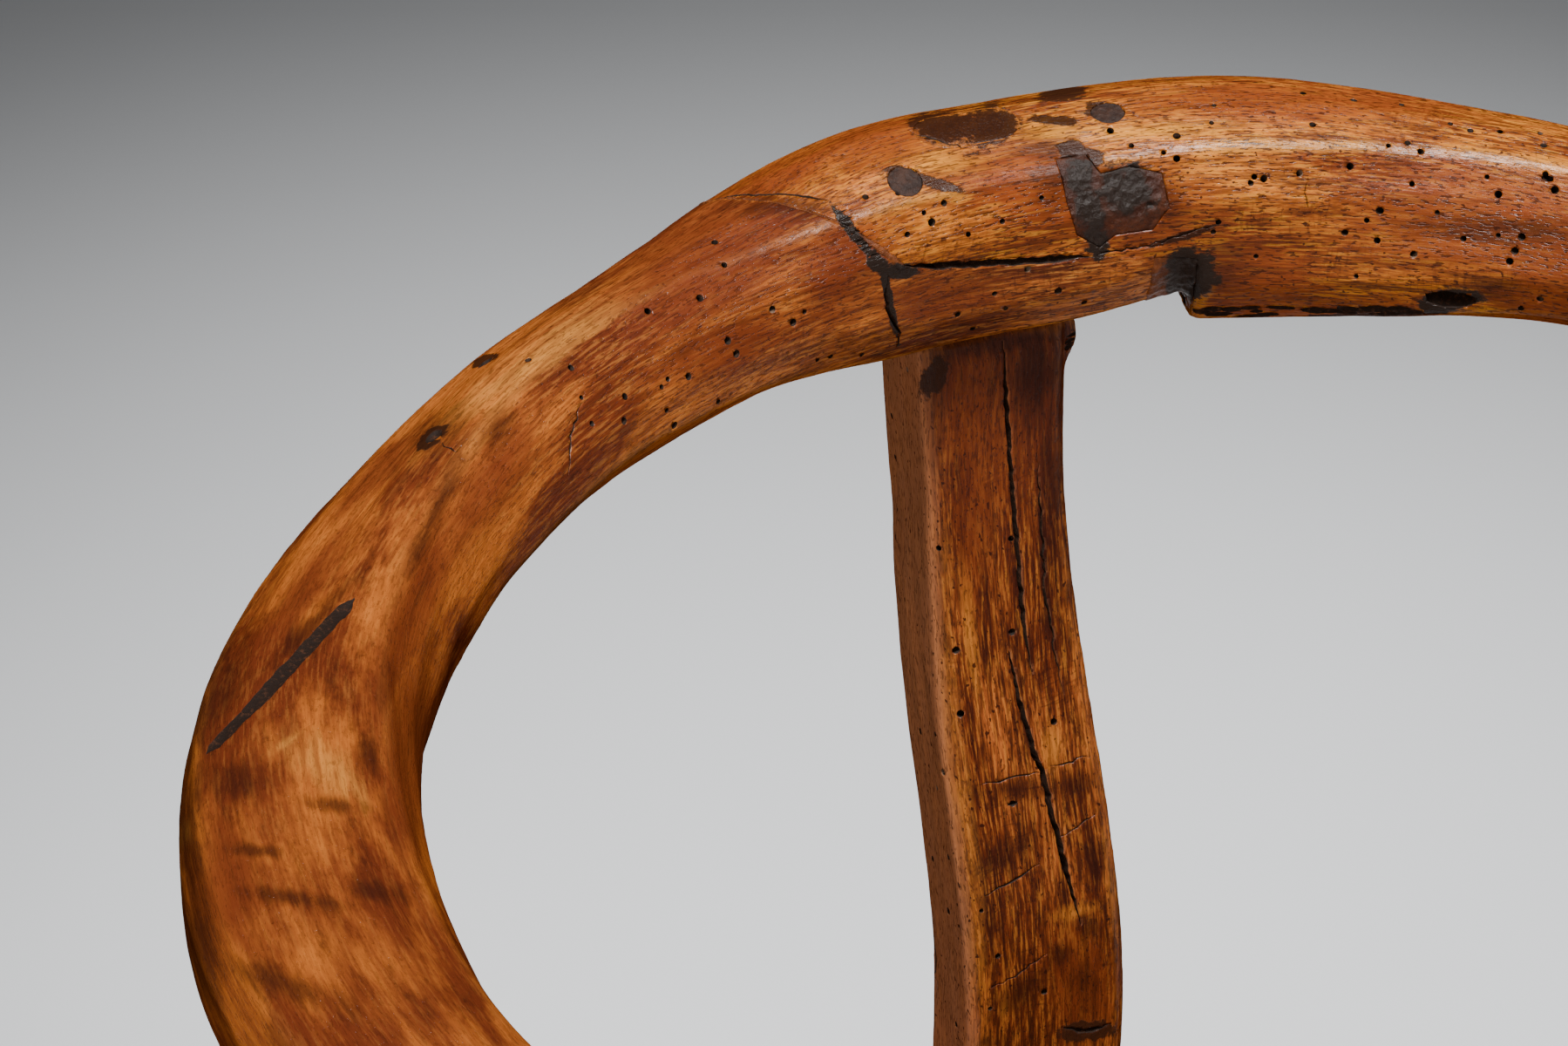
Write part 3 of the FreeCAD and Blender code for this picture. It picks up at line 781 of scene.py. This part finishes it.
def mark_points(mesh, name):
    """How near each point lies to the middle of each kind of mark: 1 in it, 0.5 on its edge."""
    points = get_points(mesh)
    across, down = to_pixels(points)
    facing = ((np.array(EYE) - points) * get_normals(mesh)).sum(axis=1) > -0.02
    fields = {kind: np.zeros(len(points)) for kind in MARK_KINDS}
    for kind, marks in MARKS.get(name, {}).items():
        for middle_across, middle_down, half_length, half_width, slant in marks:
            turn = math.radians(slant)
            right = across - middle_across
            below = down - middle_down
            long_way = (right * math.cos(turn) + below * math.sin(turn)) / half_length
            short_way = (below * math.cos(turn) - right * math.sin(turn)) / half_width
            field = np.clip(1.0 - 0.5 * np.hypot(long_way, short_way), 0.0, 1.0) * facing
            fields[kind] = np.maximum(fields[kind], field)
    return fields


# Materials


class Shader:
    """A node material under construction."""

    def __init__(self, name):
        self.material = bpy.data.materials.new(name)
        self.material.use_nodes = True
        self.tree = self.material.node_tree
        self.tree.nodes.clear()

    def put(self, socket, value):
        if isinstance(value, bpy.types.NodeSocket):
            self.tree.links.new(value, socket)
        else:
            socket.default_value = value

    def add(self, kind, inputs, **settings):
        node = self.tree.nodes.new("ShaderNode" + kind)
        for key, value in settings.items():
            setattr(node, key, value)
        for key, value in inputs.items():
            self.put(node.inputs[key], value)
        return node

    def attribute(self, name):
        return self.add("Attribute", {}, attribute_name=name)

    def field(self, name):
        return self.attribute(name).outputs["Fac"]

    def place(self):
        return self.add("TexCoord", {}).outputs["Object"]

    def scaled(self, vector, scale):
        return self.add("VectorMath", {0: vector, 1: scale}, operation="MULTIPLY").outputs[0]

    def noise(self, vector, scale, detail=3.0, roughness=0.55):
        inputs = {"Scale": 1.0, "Detail": detail, "Roughness": roughness}
        return self.add("TexNoise", {"Vector": self.scaled(vector, scale), **inputs}).outputs["Fac"]

    def step(self, value, low, high):
        """Zero below low, one above high, smooth between."""
        inputs = {"Value": value, "From Min": low, "From Max": high}
        return self.add("MapRange", inputs, interpolation_type="SMOOTHSTEP").outputs[0]

    def between(self, value, low, high):
        """A value from 0 to 1 spread over a range."""
        return self.add("MapRange", {"Value": value, "To Min": low, "To Max": high}).outputs[0]

    def math(self, operation, first, second):
        return self.add("Math", {0: first, 1: second}, operation=operation).outputs[0]

    def times(self, first, second):
        return self.math("MULTIPLY", first, second)

    def plus(self, first, second):
        return self.math("ADD", first, second)

    def mix(self, share, first, second):
        return self.add("Mix", {0: share, 6: first, 7: second}, data_type="RGBA").outputs[2]

    def layered(self, colour, *layers):
        """A colour with others laid over it in turn, each as strong as the product of its shares."""
        for tone, share, *more in layers:
            for factor in more:
                share = self.times(share, factor)
            colour = self.mix(share, colour, tone)
        return colour

    def swing(self, value, size):
        """Noise about a half, turned into noise about zero."""
        return self.times(self.math("SUBTRACT", value, 0.5), size)

    def marked(self, name, ragged, low, high):
        """A mark's attribute with its edge made ragged by noise that averages zero."""
        return self.step(self.plus(self.field(name), ragged), low, high)

    def bump(self, height, strength, distance):
        return self.add("Bump", {"Strength": strength, "Distance": distance, "Height": height}).outputs[0]

    def finish(self, **inputs):
        shader = self.add("BsdfPrincipled", inputs)
        self.add("OutputMaterial", {"Surface": shader.outputs[0]})
        return self.material


# Default tone of the painted side sheen: a paler, greyer brown that paints reflection and light on one side
# of a piece.
SIDE_SHEEN_BROWN = (0.250, 0.100, 0.0300, 1)
WoodTones = namedtuple("WoodTones", "golden red dark pale dull", defaults=(SIDE_SHEEN_BROWN,))
LEFT_TONES = WoodTones(
    golden=(0.440, 0.118, 0.0200, 1),
    red=(0.135, 0.026, 0.0085, 1),
    dark=(0.034, 0.008, 0.0040, 1),
    pale=(0.620, 0.250, 0.0480, 1),
)
RIGHT_TONES = WoodTones(
    golden=(0.510, 0.146, 0.0200, 1),
    red=(0.205, 0.041, 0.0090, 1),
    dark=(0.036, 0.009, 0.0040, 1),
    pale=(0.680, 0.290, 0.0320, 1),
)
POST_TONES = WoodTones(
    golden=(0.340, 0.086, 0.0180, 1),
    red=(0.122, 0.023, 0.0065, 1),
    dark=(0.022, 0.005, 0.0030, 1),
    pale=(0.500, 0.175, 0.0300, 1),
    # painted greyish sheen and light on the rear post's left side
    dull=(0.450, 0.170, 0.0750, 1),
)
SEAT_TONES = WoodTones(
    golden=(0.350, 0.104, 0.0140, 1),
    red=(0.175, 0.039, 0.0060, 1),
    dark=(0.034, 0.008, 0.0024, 1),
    pale=(0.520, 0.215, 0.0320, 1),
)
STAIN_BROWN = (0.026, 0.009, 0.0045, 1)
SOOT_BLACK = (0.018, 0.011, 0.008, 1)


# Tones of a wood, and how strong its dark lines, pores, smudges and mottling are.
Wood = namedtuple("Wood", "name tones lined pored smudged mottled")
WOODS = (
    Wood("left rail wood", LEFT_TONES, lined=0.45, pored=0.75, smudged=0.66, mottled=0.6),
    Wood("right rail wood", RIGHT_TONES, lined=0.6, pored=0.8, smudged=0.34, mottled=0.6),
    Wood("post wood", POST_TONES, lined=0.7, pored=0.5, smudged=0.85, mottled=0.9),
    Wood("seat wood", SEAT_TONES, lined=0.5, pored=0.7, smudged=0.6, mottled=0.6),
    Wood("leg wood", POST_TONES, lined=0.6, pored=0.5, smudged=0.7, mottled=0.6),
)


def wood_material(wood):
    """Waxed old wood: bands, lines, fibres, pores, smudges and rubbed pale places, all along the grain
    attribute; some marks are painted shade and painted highlight, and the rear post's left side has a painted
    sheen.
    """
    s = Shader(wood.name)
    tones = wood.tones
    grain = s.attribute("grain").outputs["Vector"]
    warp = s.add("TexNoise", {"Vector": s.scaled(grain, (8, 45, 45)), "Scale": 1.0, "Detail": 3.0})
    half = (0.5, 0.5, 0.5)
    centred = s.add("VectorMath", {0: warp.outputs["Color"], 1: half}, operation="SUBTRACT").outputs[0]
    drift = s.scaled(centred, (0.012, 0.006, 0.006))
    wavy = s.add("VectorMath", {0: grain, 1: drift}, operation="ADD").outputs[0]

    cloud = s.step(s.noise(grain, (16, 46, 46), 6.0, 0.62), 0.41, 0.60)
    band = s.step(s.noise(wavy, (8, 170, 170), 5.0, 0.62), 0.44, 0.64)
    line = s.step(s.noise(wavy, (26, 520, 520), 5.0, 0.64), 0.47, 0.66)
    fleck = s.step(s.noise(wavy, (60, 420, 420), 6.0, 0.7), 0.55, 0.74)
    mottle = s.step(s.noise(wavy, (170, 360, 360), 8.0, 0.74), 0.50, 0.72)
    fibre = s.noise(wavy, (90, 1300, 1300), 3.0, 0.6)
    pores = s.step(s.noise(wavy, (360, 2000, 2000), 1.0, 0.5), 0.57, 0.63)
    pore_room = s.step(s.noise(grain, (20, 60, 60), 3.0), 0.2, 0.36)
    specks = s.step(s.noise(grain, (560, 800, 800), 1.0, 0.5), 0.68, 0.74)
    smudge = s.step(s.noise(wavy, (42, 150, 150), 9.0, 0.74), 0.52, 0.72)
    hatch = s.step(s.noise(wavy, (1000, 130, 130), 3.0, 0.6), 0.52, 0.68)
    hatch_room = s.step(s.noise(grain, (34, 60, 60), 2.0), 0.50, 0.62)

    fine_edge = s.swing(s.noise(wavy, (260, 420, 420), 6.0, 0.7), 0.7)
    broad_edge = s.swing(s.noise(wavy, (70, 160, 160), 6.0, 0.68), 0.9)
    streaky_edge = s.swing(s.noise(wavy, (45, 520, 520), 5.0, 0.66), 1.3)
    ragged = s.plus(fine_edge, broad_edge)
    streaky = s.plus(broad_edge, streaky_edge)
    ridge = s.marked("ridge", broad_edge, 0.3, 1.0)
    worn_and_highlit = s.marked("wear_and_highlight", streaky, 0.2, 1.0)
    ruddy_and_shade = s.marked("ruddy_and_shade", s.times(broad_edge, 0.5), 0.1, 0.8)
    tinted_and_shaded = s.marked("tint_and_shade", streaky, 0.15, 0.95)
    stained = s.marked("stain", ragged, 0.44, 0.56)
    sooty = s.marked("soot", ragged, 0.42, 0.54)
    figure, dull = s.field("figure"), s.field("dull")

    colour = s.layered(
        tones.red,
        (tones.golden, cloud),
        (tones.red, band, 0.6),
        (tones.pale, fleck, 0.5, figure),
        (tones.dark, line, wood.lined, figure),
        (tones.dark, s.step(fibre, 0.45, 0.63), 0.66, figure),
        (tones.pale, s.step(fibre, 0.5, 0.36), 0.4, figure),
        (tones.dark, mottle, wood.mottled, figure),
        (tones.dark, hatch, hatch_room, figure, 0.5),
        (tones.dark, smudge, wood.smudged),
        (tones.pale, ridge, figure, 0.4),
        # pale rubbed places, partly painted highlight
        (s.mix(s.times(line, 0.7), tones.pale, tones.red), worn_and_highlit, 0.56),
        # darker red zones, partly painted shade
        (s.mix(s.times(line, 0.4), tones.red, tones.dark), ruddy_and_shade, 0.8),
        # dark tints, partly painted shade
        (tones.dark, tinted_and_shaded, 0.74),
        # painted sheen and light: the rear post's left side is laid over with a paler, greyer brown
        (tones.dull, dull, 0.66),
        (tones.dark, pores, pore_room, figure, wood.pored),
        (tones.dark, specks, figure, 0.9),
        (STAIN_BROWN, stained, 0.93),
        (SOOT_BLACK, sooty),
    )

    slant = s.add("LayerWeight", {"Blend": 0.5}).outputs["Facing"]
    # less coat where the side sheen is painted and where the wood is rubbed pale
    less_coat = s.math("MAXIMUM", dull, worn_and_highlit)
    waxed = s.times(s.between(less_coat, 1.0, 0.25), s.between(s.step(slant, 0.3, 0.75), 1.0, 0.0))
    crust = s.times(s.math("MAXIMUM", stained, sooty), s.noise(grain, (420, 420, 420), 6.0, 0.7))
    height = s.math("SUBTRACT", s.times(fibre, 0.8), s.times(pores, 0.7))
    height = s.plus(height, s.times(s.noise(grain, (90, 150, 150), 6.0, 0.62), 1.6))
    height = s.plus(height, s.times(crust, 1.8))
    relief = s.bump(height, 0.45, 0.0005)
    return s.finish(**{
        "Base Color": colour, "Roughness": 0.5, "Normal": relief, "Specular IOR Level": 0.0,
        "Coat Weight": s.times(waxed, 0.5), "Coat Roughness": 0.3, "Coat Normal": relief,
    })


def bored_material():
    """Dusty dark brown inside wormholes, some of them filled with pale dust."""
    s = Shader("wormhole")
    place = s.place()
    dust = s.noise(place, (900, 900, 900), 5.0, 0.7)
    filled = s.step(s.noise(place, (75, 75, 75), 1.0), 0.6, 0.68)
    colour = s.mix(s.step(dust, 0.4, 0.75), (0.009, 0.005, 0.003, 1), (0.040, 0.018, 0.009, 1))
    colour = s.mix(s.times(filled, 0.7), colour, (0.20, 0.12, 0.075, 1))
    return s.finish(**{
        "Base Color": colour, "Roughness": 0.75, "Normal": s.bump(dust, 0.5, 0.0003),
        "Specular IOR Level": 0.2,
    })


def split_material():
    """Near black wood inside cracks, gouges and torn places."""
    s = Shader("split wood")
    place = s.place()
    dust = s.noise(place, (700, 700, 700), 6.0, 0.7)
    colour = s.mix(s.step(dust, 0.5, 0.8), (0.016, 0.008, 0.005, 1), (0.100, 0.036, 0.015, 1))
    return s.finish(**{
        "Base Color": colour, "Roughness": 0.7, "Normal": s.bump(dust, 0.6, 0.0005),
        "Specular IOR Level": 0.2,
    })


def dark_material(name, low, high, gloss):
    """Old mastic or a pegged end: dark, pitted, with a low shine, black where it is sooty."""
    s = Shader(name)
    place = s.place()
    cells = s.add("TexVoronoi", {"Vector": place, "Scale": 520.0}, feature="F1").outputs["Distance"]
    lumps = s.noise(place, (260, 260, 260), 8.0, 0.72)
    dust = s.noise(place, (800, 800, 800), 4.0, 0.6)
    colour = s.mix(s.step(lumps, 0.4, 0.68), low, high)
    colour = s.mix(s.marked("soot", s.swing(lumps, 1.4), 0.4, 0.62), colour, SOOT_BLACK)
    colour = s.mix(s.times(s.step(dust, 0.62, 0.72), 0.5), colour, (0.075, 0.042, 0.026, 1))
    height = s.plus(s.times(lumps, 1.5), s.times(cells, 0.6))
    return s.finish(**{
        "Base Color": colour, "Roughness": s.between(dust, gloss, gloss + 0.3),
        "Normal": s.bump(height, 0.8, 0.0008), "Specular IOR Level": 0.4,
    })


def wedge_material():
    """Cleft wedge of a paler, dusty wood, its end showing."""
    s = Shader("wedge wood")
    place = s.place()
    fibre = s.noise(place, (700, 700, 60), 5.0, 0.65)
    blotch = s.noise(place, (120, 120, 120), 5.0, 0.6)
    colour = s.mix(s.step(fibre, 0.35, 0.68), (0.20, 0.09, 0.03, 1), (0.07, 0.028, 0.010, 1))
    colour = s.mix(s.times(s.step(blotch, 0.45, 0.7), 0.6), colour, (0.04, 0.016, 0.007, 1))
    return s.finish(**{"Base Color": colour, "Roughness": 0.55, "Normal": s.bump(fibre, 0.4, 0.0004)})


def floor_material():
    s = Shader("studio floor")
    place = s.place()
    cloud = s.noise(place, (1.2, 1.2, 1.2), 4.0)
    colour = s.mix(s.step(cloud, 0.2, 0.8), (0.79, 0.80, 0.815, 1), (0.82, 0.83, 0.845, 1))
    return s.finish(**{"Base Color": colour, "Roughness": 0.6, "Specular IOR Level": 0.2})


# Pieces


def roughen(mesh, grain, work):
    """Hewn unevenness along the normals, which stays above the floor."""
    swell = ripple(grain, (0.055, 0.016, 0.016), work.seed) * work.heights[0]
    marks = ripple(grain, (0.019, 0.006, 0.006), work.seed + 7.3) * work.heights[1]
    grit = ripple(grain, (0.006, 0.0022, 0.0022), work.seed + 19.1) * work.heights[2]
    points = get_points(mesh) + get_normals(mesh) * ((swell + marks + grit) * MM)[:, None]
    points[:, 2] = np.maximum(points[:, 2], 0.0)
    set_points(mesh, points)


# The rear post's left edge is straighter than its solid: heights in pixels, and shifts in millimetres.
EDGE_HEIGHTS = (400, 580, 840, 1020, 1200)
EDGE_SHIFTS = (-1.9, 0.0, -1.4, -1.4, 0.0)


def straighten_edge(mesh):
    """Moves the rear post's left side to where the photograph shows its edge."""
    points = get_points(mesh)
    _, down = to_pixels(points)
    share = np.clip((-get_normals(mesh)[:, 0] - 0.3) / 0.5, 0.0, 1.0)
    points[:, 0] += np.interp(down, EDGE_HEIGHTS, EDGE_SHIFTS) * share * MM
    set_points(mesh, points)


Hewn = namedtuple("Hewn", "thing places ridges")
BORED_SLOT = 1
SPLIT_SLOT = 2
SHARP_ANGLE = math.radians(42)


def hewn(thing, name, materials, grain_of, work):
    """Works a closed object: even mesh, softened, roughened, then torn, cracked and worm-eaten."""
    chance = random.Random(work.seed)
    make_even(thing, work.voxel)
    mesh = thing.data
    mesh.materials.clear()
    for material in materials:
        mesh.materials.append(material)
    relax(mesh, work.smooth)
    if name == "rear_post":
        straighten_edge(mesh)
    roughen(mesh, grain_of(get_points(mesh), 0.0), work)
    places, ridges = get_points(mesh), ridge_share(mesh)
    tree = tree_of(thing)
    for chips in torn_chips(name, tree, chance):
        cut(thing, "chips", chips, SPLIT_SLOT)
    cut(thing, "hollows", seen_hollows(name, tree, chance), SPLIT_SLOT)
    cut(thing, "cracks", seen_cracks(name, tree, chance), SPLIT_SLOT)
    cut(thing, "holes", seen_holes(name, tree, chance), BORED_SLOT)
    cut(thing, "more holes", scattered_holes(thing.data, work.holes, chance), BORED_SLOT)
    return Hewn(thing, places, ridges)


def place_piece(thing, node):
    """Gives a finished piece smooth shading and its place in the frame."""
    thing.name = node + ".hewn"
    mesh = thing.data
    mesh.shade_smooth()
    mesh.set_sharp_from_angle(angle=SHARP_ANGLE)
    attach(thing, "root")
    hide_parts(node)


def dress(worked, node, marks, grain_of, offset):
    """Finishes a wooden piece with its grain, ridges and marks."""
    mesh = worked.thing.data
    for index, material in enumerate(mesh.materials):
        if material is None:
            mesh.materials[index] = mesh.materials[0]
    points = get_points(mesh)
    grain = grain_of(points, offset)
    stored = mesh.attributes.new("grain", "FLOAT_VECTOR", "POINT").data
    stored.foreach_set("vector", grain.astype(np.float32).ravel())
    set_floats(mesh, "ridge", nearest_values(points, worked.places, worked.ridges))
    set_floats(mesh, "figure", figure_share(points) if marks == "rail" else np.ones(len(points)))
    # the rear post's left side gets a painted sheen and light
    set_floats(mesh, "dull", side_sheen_share(mesh) if node == "rear_post" else np.zeros(len(points)))
    fields = mark_points(mesh, marks)
    if node == "rear_post":
        on_rail = mark_points(mesh, "rail")
        high = points[:, 2] > TENON_TOP
        fields = {kind: np.where(high, on_rail[kind], fields[kind]) for kind in MARK_KINDS}
    for kind, values in fields.items():
        set_floats(mesh, kind, values)
    place_piece(worked.thing, node)


# Boldness of the rail's figure at some angles from the middle of the back, and the upper end of the painted
# side sheen.
FIGURE_ANGLES = (-90, -55, -20, 5)
FIGURE_SHARES = (0.2, 0.36, 0.72, 1.0)
SIDE_SHEEN_TOP = RAIL_HEIGHT - 20 * MM
SIDE_SHEEN_FADE = 10 * MM


def figure_share(points):
    """How bold the pores and lines of the rail are: most on the right, least towards the left hand."""
    plan = points[:, :2] - np.array(RING[:2])
    angles = np.degrees(np.arctan2(plan[:, 0], plan[:, 1]))
    return np.interp(angles, FIGURE_ANGLES, FIGURE_SHARES)


def side_sheen_share(mesh):
    """Where the rear post's left side is painted paler and greyer, a painted sheen and light: how much each
    point faces that way.
    """
    points = get_points(mesh)
    below = np.clip((SIDE_SHEEN_TOP - points[:, 2]) / SIDE_SHEEN_FADE, 0.0, 1.0)
    return np.clip((-get_normals(mesh)[:, 0] - 0.55) / 0.3, 0.0, 1.0) * below


def part_of(skin, keep=None, away=()):
    """A copy of the skin, or of what a tool keeps of it, without what other tools take away."""
    thing = new_object("part", skin.data.copy())
    if keep:
        boolean(thing, keep, "INTERSECT")
    for tool in away:
        boolean(thing, tool, "DIFFERENCE")
    return thing


def lump_piece(thing, node, material):
    """A small piece with a pitted skin that may stand a little proud."""
    lump = LUMPS[node]
    make_even(thing, lump.voxel)
    mesh = thing.data
    mesh.materials.clear()
    mesh.materials.append(material)
    relax(mesh, LUMP_SMOOTH)
    points = get_points(mesh)
    bumps = ripple(points, (0.003,) * 3, lump.seed) + 0.5 * ripple(points, (0.0014,) * 3, lump.seed + 5)
    set_points(mesh, points + get_normals(mesh) * ((bumps * lump.uneven + lump.proud) * MM)[:, None])
    for kind, values in mark_points(mesh, "rail").items():
        set_floats(mesh, kind, values)
    place_piece(thing, node)


def skin_of(nodes, tenoned, root):
    """Several CAD nodes as one object, with the ends of the tenons that are let into them."""
    whole = bmesh.new()
    for node in nodes:
        whole.from_mesh(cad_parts[node].data)
    for node in tenoned:
        end = tenon_end(node, root)
        whole.from_mesh(end.data)
        remove_object(end)
    return built("skin", whole)


def lap_blocks():
    """Blocks that part the two arms and their fillers along the faces of the lap."""
    toward_right = Vector((0.63, 0.64, 0.44))
    lap = largest_flat("left_arm_rail", UP)
    shoulder = largest_flat("left_arm_rail", toward_right)
    far_shoulder = largest_flat("right_arm_rail", -toward_right)
    tongue_end = largest_flat("left_arm_rail", (0.98, -0.18, 0.0))
    tip = largest_flat("right_arm_rail", (-0.97, 0.23, 0.0))
    return {
        "over lap": block(lap, shoulder),
        "past tongue": block(tongue_end),
        "under lap": block(tip, other_way(lap)),
        "before shoulder": block(tip, far_shoulder),
        "seam": block(tip, lap, shoulder, far_shoulder),
        "lump": block(tip, other_way(lap), tongue_end),
    }


def make_rail(left_wood, right_wood, mastic, patch_mastic, peg_wood):
    """Parts the worked skin into arms, fillers, pegs and tenon ends, and returns the tenon ends."""
    skin = skin_of(RAIL_NODES, POST_NODES, TENON_ROOT)
    worked = hewn(skin, "rail", left_wood, rail_grain, RAIL_WORK)
    blocks = lap_blocks()
    tenons = {post: lengthened(tenon_end(post, TENON_ROOT), TENON_TOP) for post in POST_NODES}
    pegs = {peg: peg_tool(peg) for peg in ("left_lap_peg", "right_lap_peg")}
    patch = patch_tool()
    rear = [tenons["rear_post"]] + list(pegs.values())
    off_left = [blocks["over lap"], blocks["past tongue"], tenons["left_post"]]
    off_right = [blocks["under lap"], blocks["before shoulder"], tenons["right_post"], patch]
    left = worked._replace(thing=part_of(skin, None, off_left + rear))
    right = worked._replace(thing=part_of(skin, None, off_right + rear))
    right.thing.data.materials[0] = right_wood[0]
    dress(left, "left_arm_rail", "rail", rail_grain, LEFT_GRAIN_START)
    dress(right, "right_arm_rail", "rail", rail_grain, RIGHT_GRAIN_START)
    lump_piece(part_of(skin, blocks["seam"]), "shoulder_filler", mastic)
    lump_piece(part_of(skin, blocks["lump"]), "tip_filler", mastic)
    lump_piece(part_of(skin, patch), "patch_filler", patch_mastic)
    for peg, tool in pegs.items():
        lump_piece(part_of(skin, tool), peg, peg_wood)
    ends = {post: part_of(skin, tool) for post, tool in tenons.items()}
    for tool in list(blocks.values()) + list(tenons.values()) + list(pegs.values()) + [patch, skin]:
        remove_object(tool)
    return ends


def make_seat(materials, wedge_wood):
    """Parts the worked seat from the ends of the legs' tenons and their wedges, and returns the ends."""
    wedges = {leg: leg + "_wedge" for leg in LEG_NODES}
    skin = skin_of(["seat"] + list(wedges.values()), LEG_NODES, LEG_ROOT)
    worked = hewn(skin, "seat", materials, plank_grain, SEAT_WORK)
    tools = {leg: lengthened(tenon_end(leg, LEG_ROOT), LEG_TOP) for leg in LEG_NODES}
    ends = {leg: part_of(skin, tool) for leg, tool in tools.items()}
    for wedge in wedges.values():
        tool = lengthened(built("wedge", welded(wedge)), LEG_TOP)
        lump_piece(part_of(skin, tool), wedge, wedge_wood)
        remove_object(tool)
    hulls = [hull_of(tool) for tool in tools.values()]
    seat = worked._replace(thing=part_of(skin, None, hulls))
    dress(seat, "seat", "seat", plank_grain, SEAT_WORK.seed * GRAIN_STEP)
    for tool in hulls + list(tools.values()) + [skin]:
        remove_object(tool)
    return ends


def make_upright(node, end, root, materials):
    """A post or leg, worked below its tenon and joined to the tenon end that a skin gave."""
    work = UPRIGHT_WORK[node]
    solid = new_object(node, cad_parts[node].data.copy())
    worked = hewn(solid, node, materials, upright_grain, work)
    top = block(Plane(Vector((0.0, 0.0, root + TENON_OVERLAP)), UP))
    boolean(worked.thing, top, "DIFFERENCE")
    boolean(worked.thing, end, "UNION")
    remove_object(top)
    remove_object(end)
    dress(worked, node, node, upright_grain, work.seed * GRAIN_STEP)


def make_chair():
    cuts = [bored_material(), split_material()]
    left_wood, right_wood, post_wood, seat_wood, leg_wood = [[wood_material(wood)] + cuts for wood in WOODS]
    mastic = dark_material("dark mastic", (0.090, 0.022, 0.005, 1), (0.200, 0.052, 0.009, 1), gloss=0.3)
    patch_tones = (0.034, 0.009, 0.004, 1), (0.085, 0.021, 0.006, 1)
    patch_mastic = dark_material("patch mastic", *patch_tones, gloss=0.22)
    peg_wood = dark_material("peg wood", (0.018, 0.007, 0.004, 1), (0.042, 0.015, 0.007, 1), gloss=0.45)
    ends = make_rail(left_wood, right_wood, mastic, patch_mastic, peg_wood)
    for post in POST_NODES:
        make_upright(post, ends[post], TENON_ROOT, post_wood)
    wedge_wood = wedge_material()
    ends = make_seat(seat_wood, wedge_wood)
    for leg in LEG_NODES:
        make_upright(leg, ends[leg], LEG_ROOT, leg_wood)
    for name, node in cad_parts.items():
        if name.endswith("_foot_wedge"):
            node.data.materials.clear()
            node.data.materials.append(wedge_wood)


# Studio


def add_light(name, kind, place, target, **settings):
    """A lamp that points at a target and isn't seen itself."""
    data = bpy.data.lights.new(name, kind)
    for key, value in settings.items():
        setattr(data, key, value)
    light = bpy.data.objects.new(name, data)
    light.location = place
    light.rotation_euler = (Vector(target) - Vector(place)).to_track_quat("-Z", "Y").to_euler()
    light.visible_camera = False
    bpy.context.scene.collection.objects.link(light)
    return light


def make_studio():
    build = bmesh.new()
    bmesh.ops.create_circle(build, cap_ends=True, segments=96, radius=14.0)
    floor = built("floor", build)
    floor.data.materials.append(floor_material())
    world = bpy.data.worlds.new("studio")
    world.use_nodes = True
    backdrop = world.node_tree.nodes["Background"]
    backdrop.inputs["Color"].default_value = (0.62, 0.64, 0.67, 1)
    backdrop.inputs["Strength"].default_value = 0.05
    bpy.context.scene.world = world
    # A pool of light from far above fades towards the far floor.
    add_light(
        "overhead pool", "SPOT", (0.0, -1.2, 6.0), (0.22, 0.47, 0.0),
        energy=2700, spot_size=math.radians(18.5), spot_blend=1.0, shadow_soft_size=0.42,
    )
    fill = add_light(
        "front fill", "AREA", (-0.9, -1.5, 1.2), RING + Vector((0.05, 0.15, -0.05)),
        energy=22, shape="RECTANGLE", size=1.3, size_y=0.9,
    )
    fill.visible_glossy = False
    add_light(
        "overhead softbox", "AREA", (0.0, -0.8, 2.5), RING,
        energy=12, shape="RECTANGLE", size=1.2, size_y=0.8,
    )


add_camera()
make_chair()
make_studio()
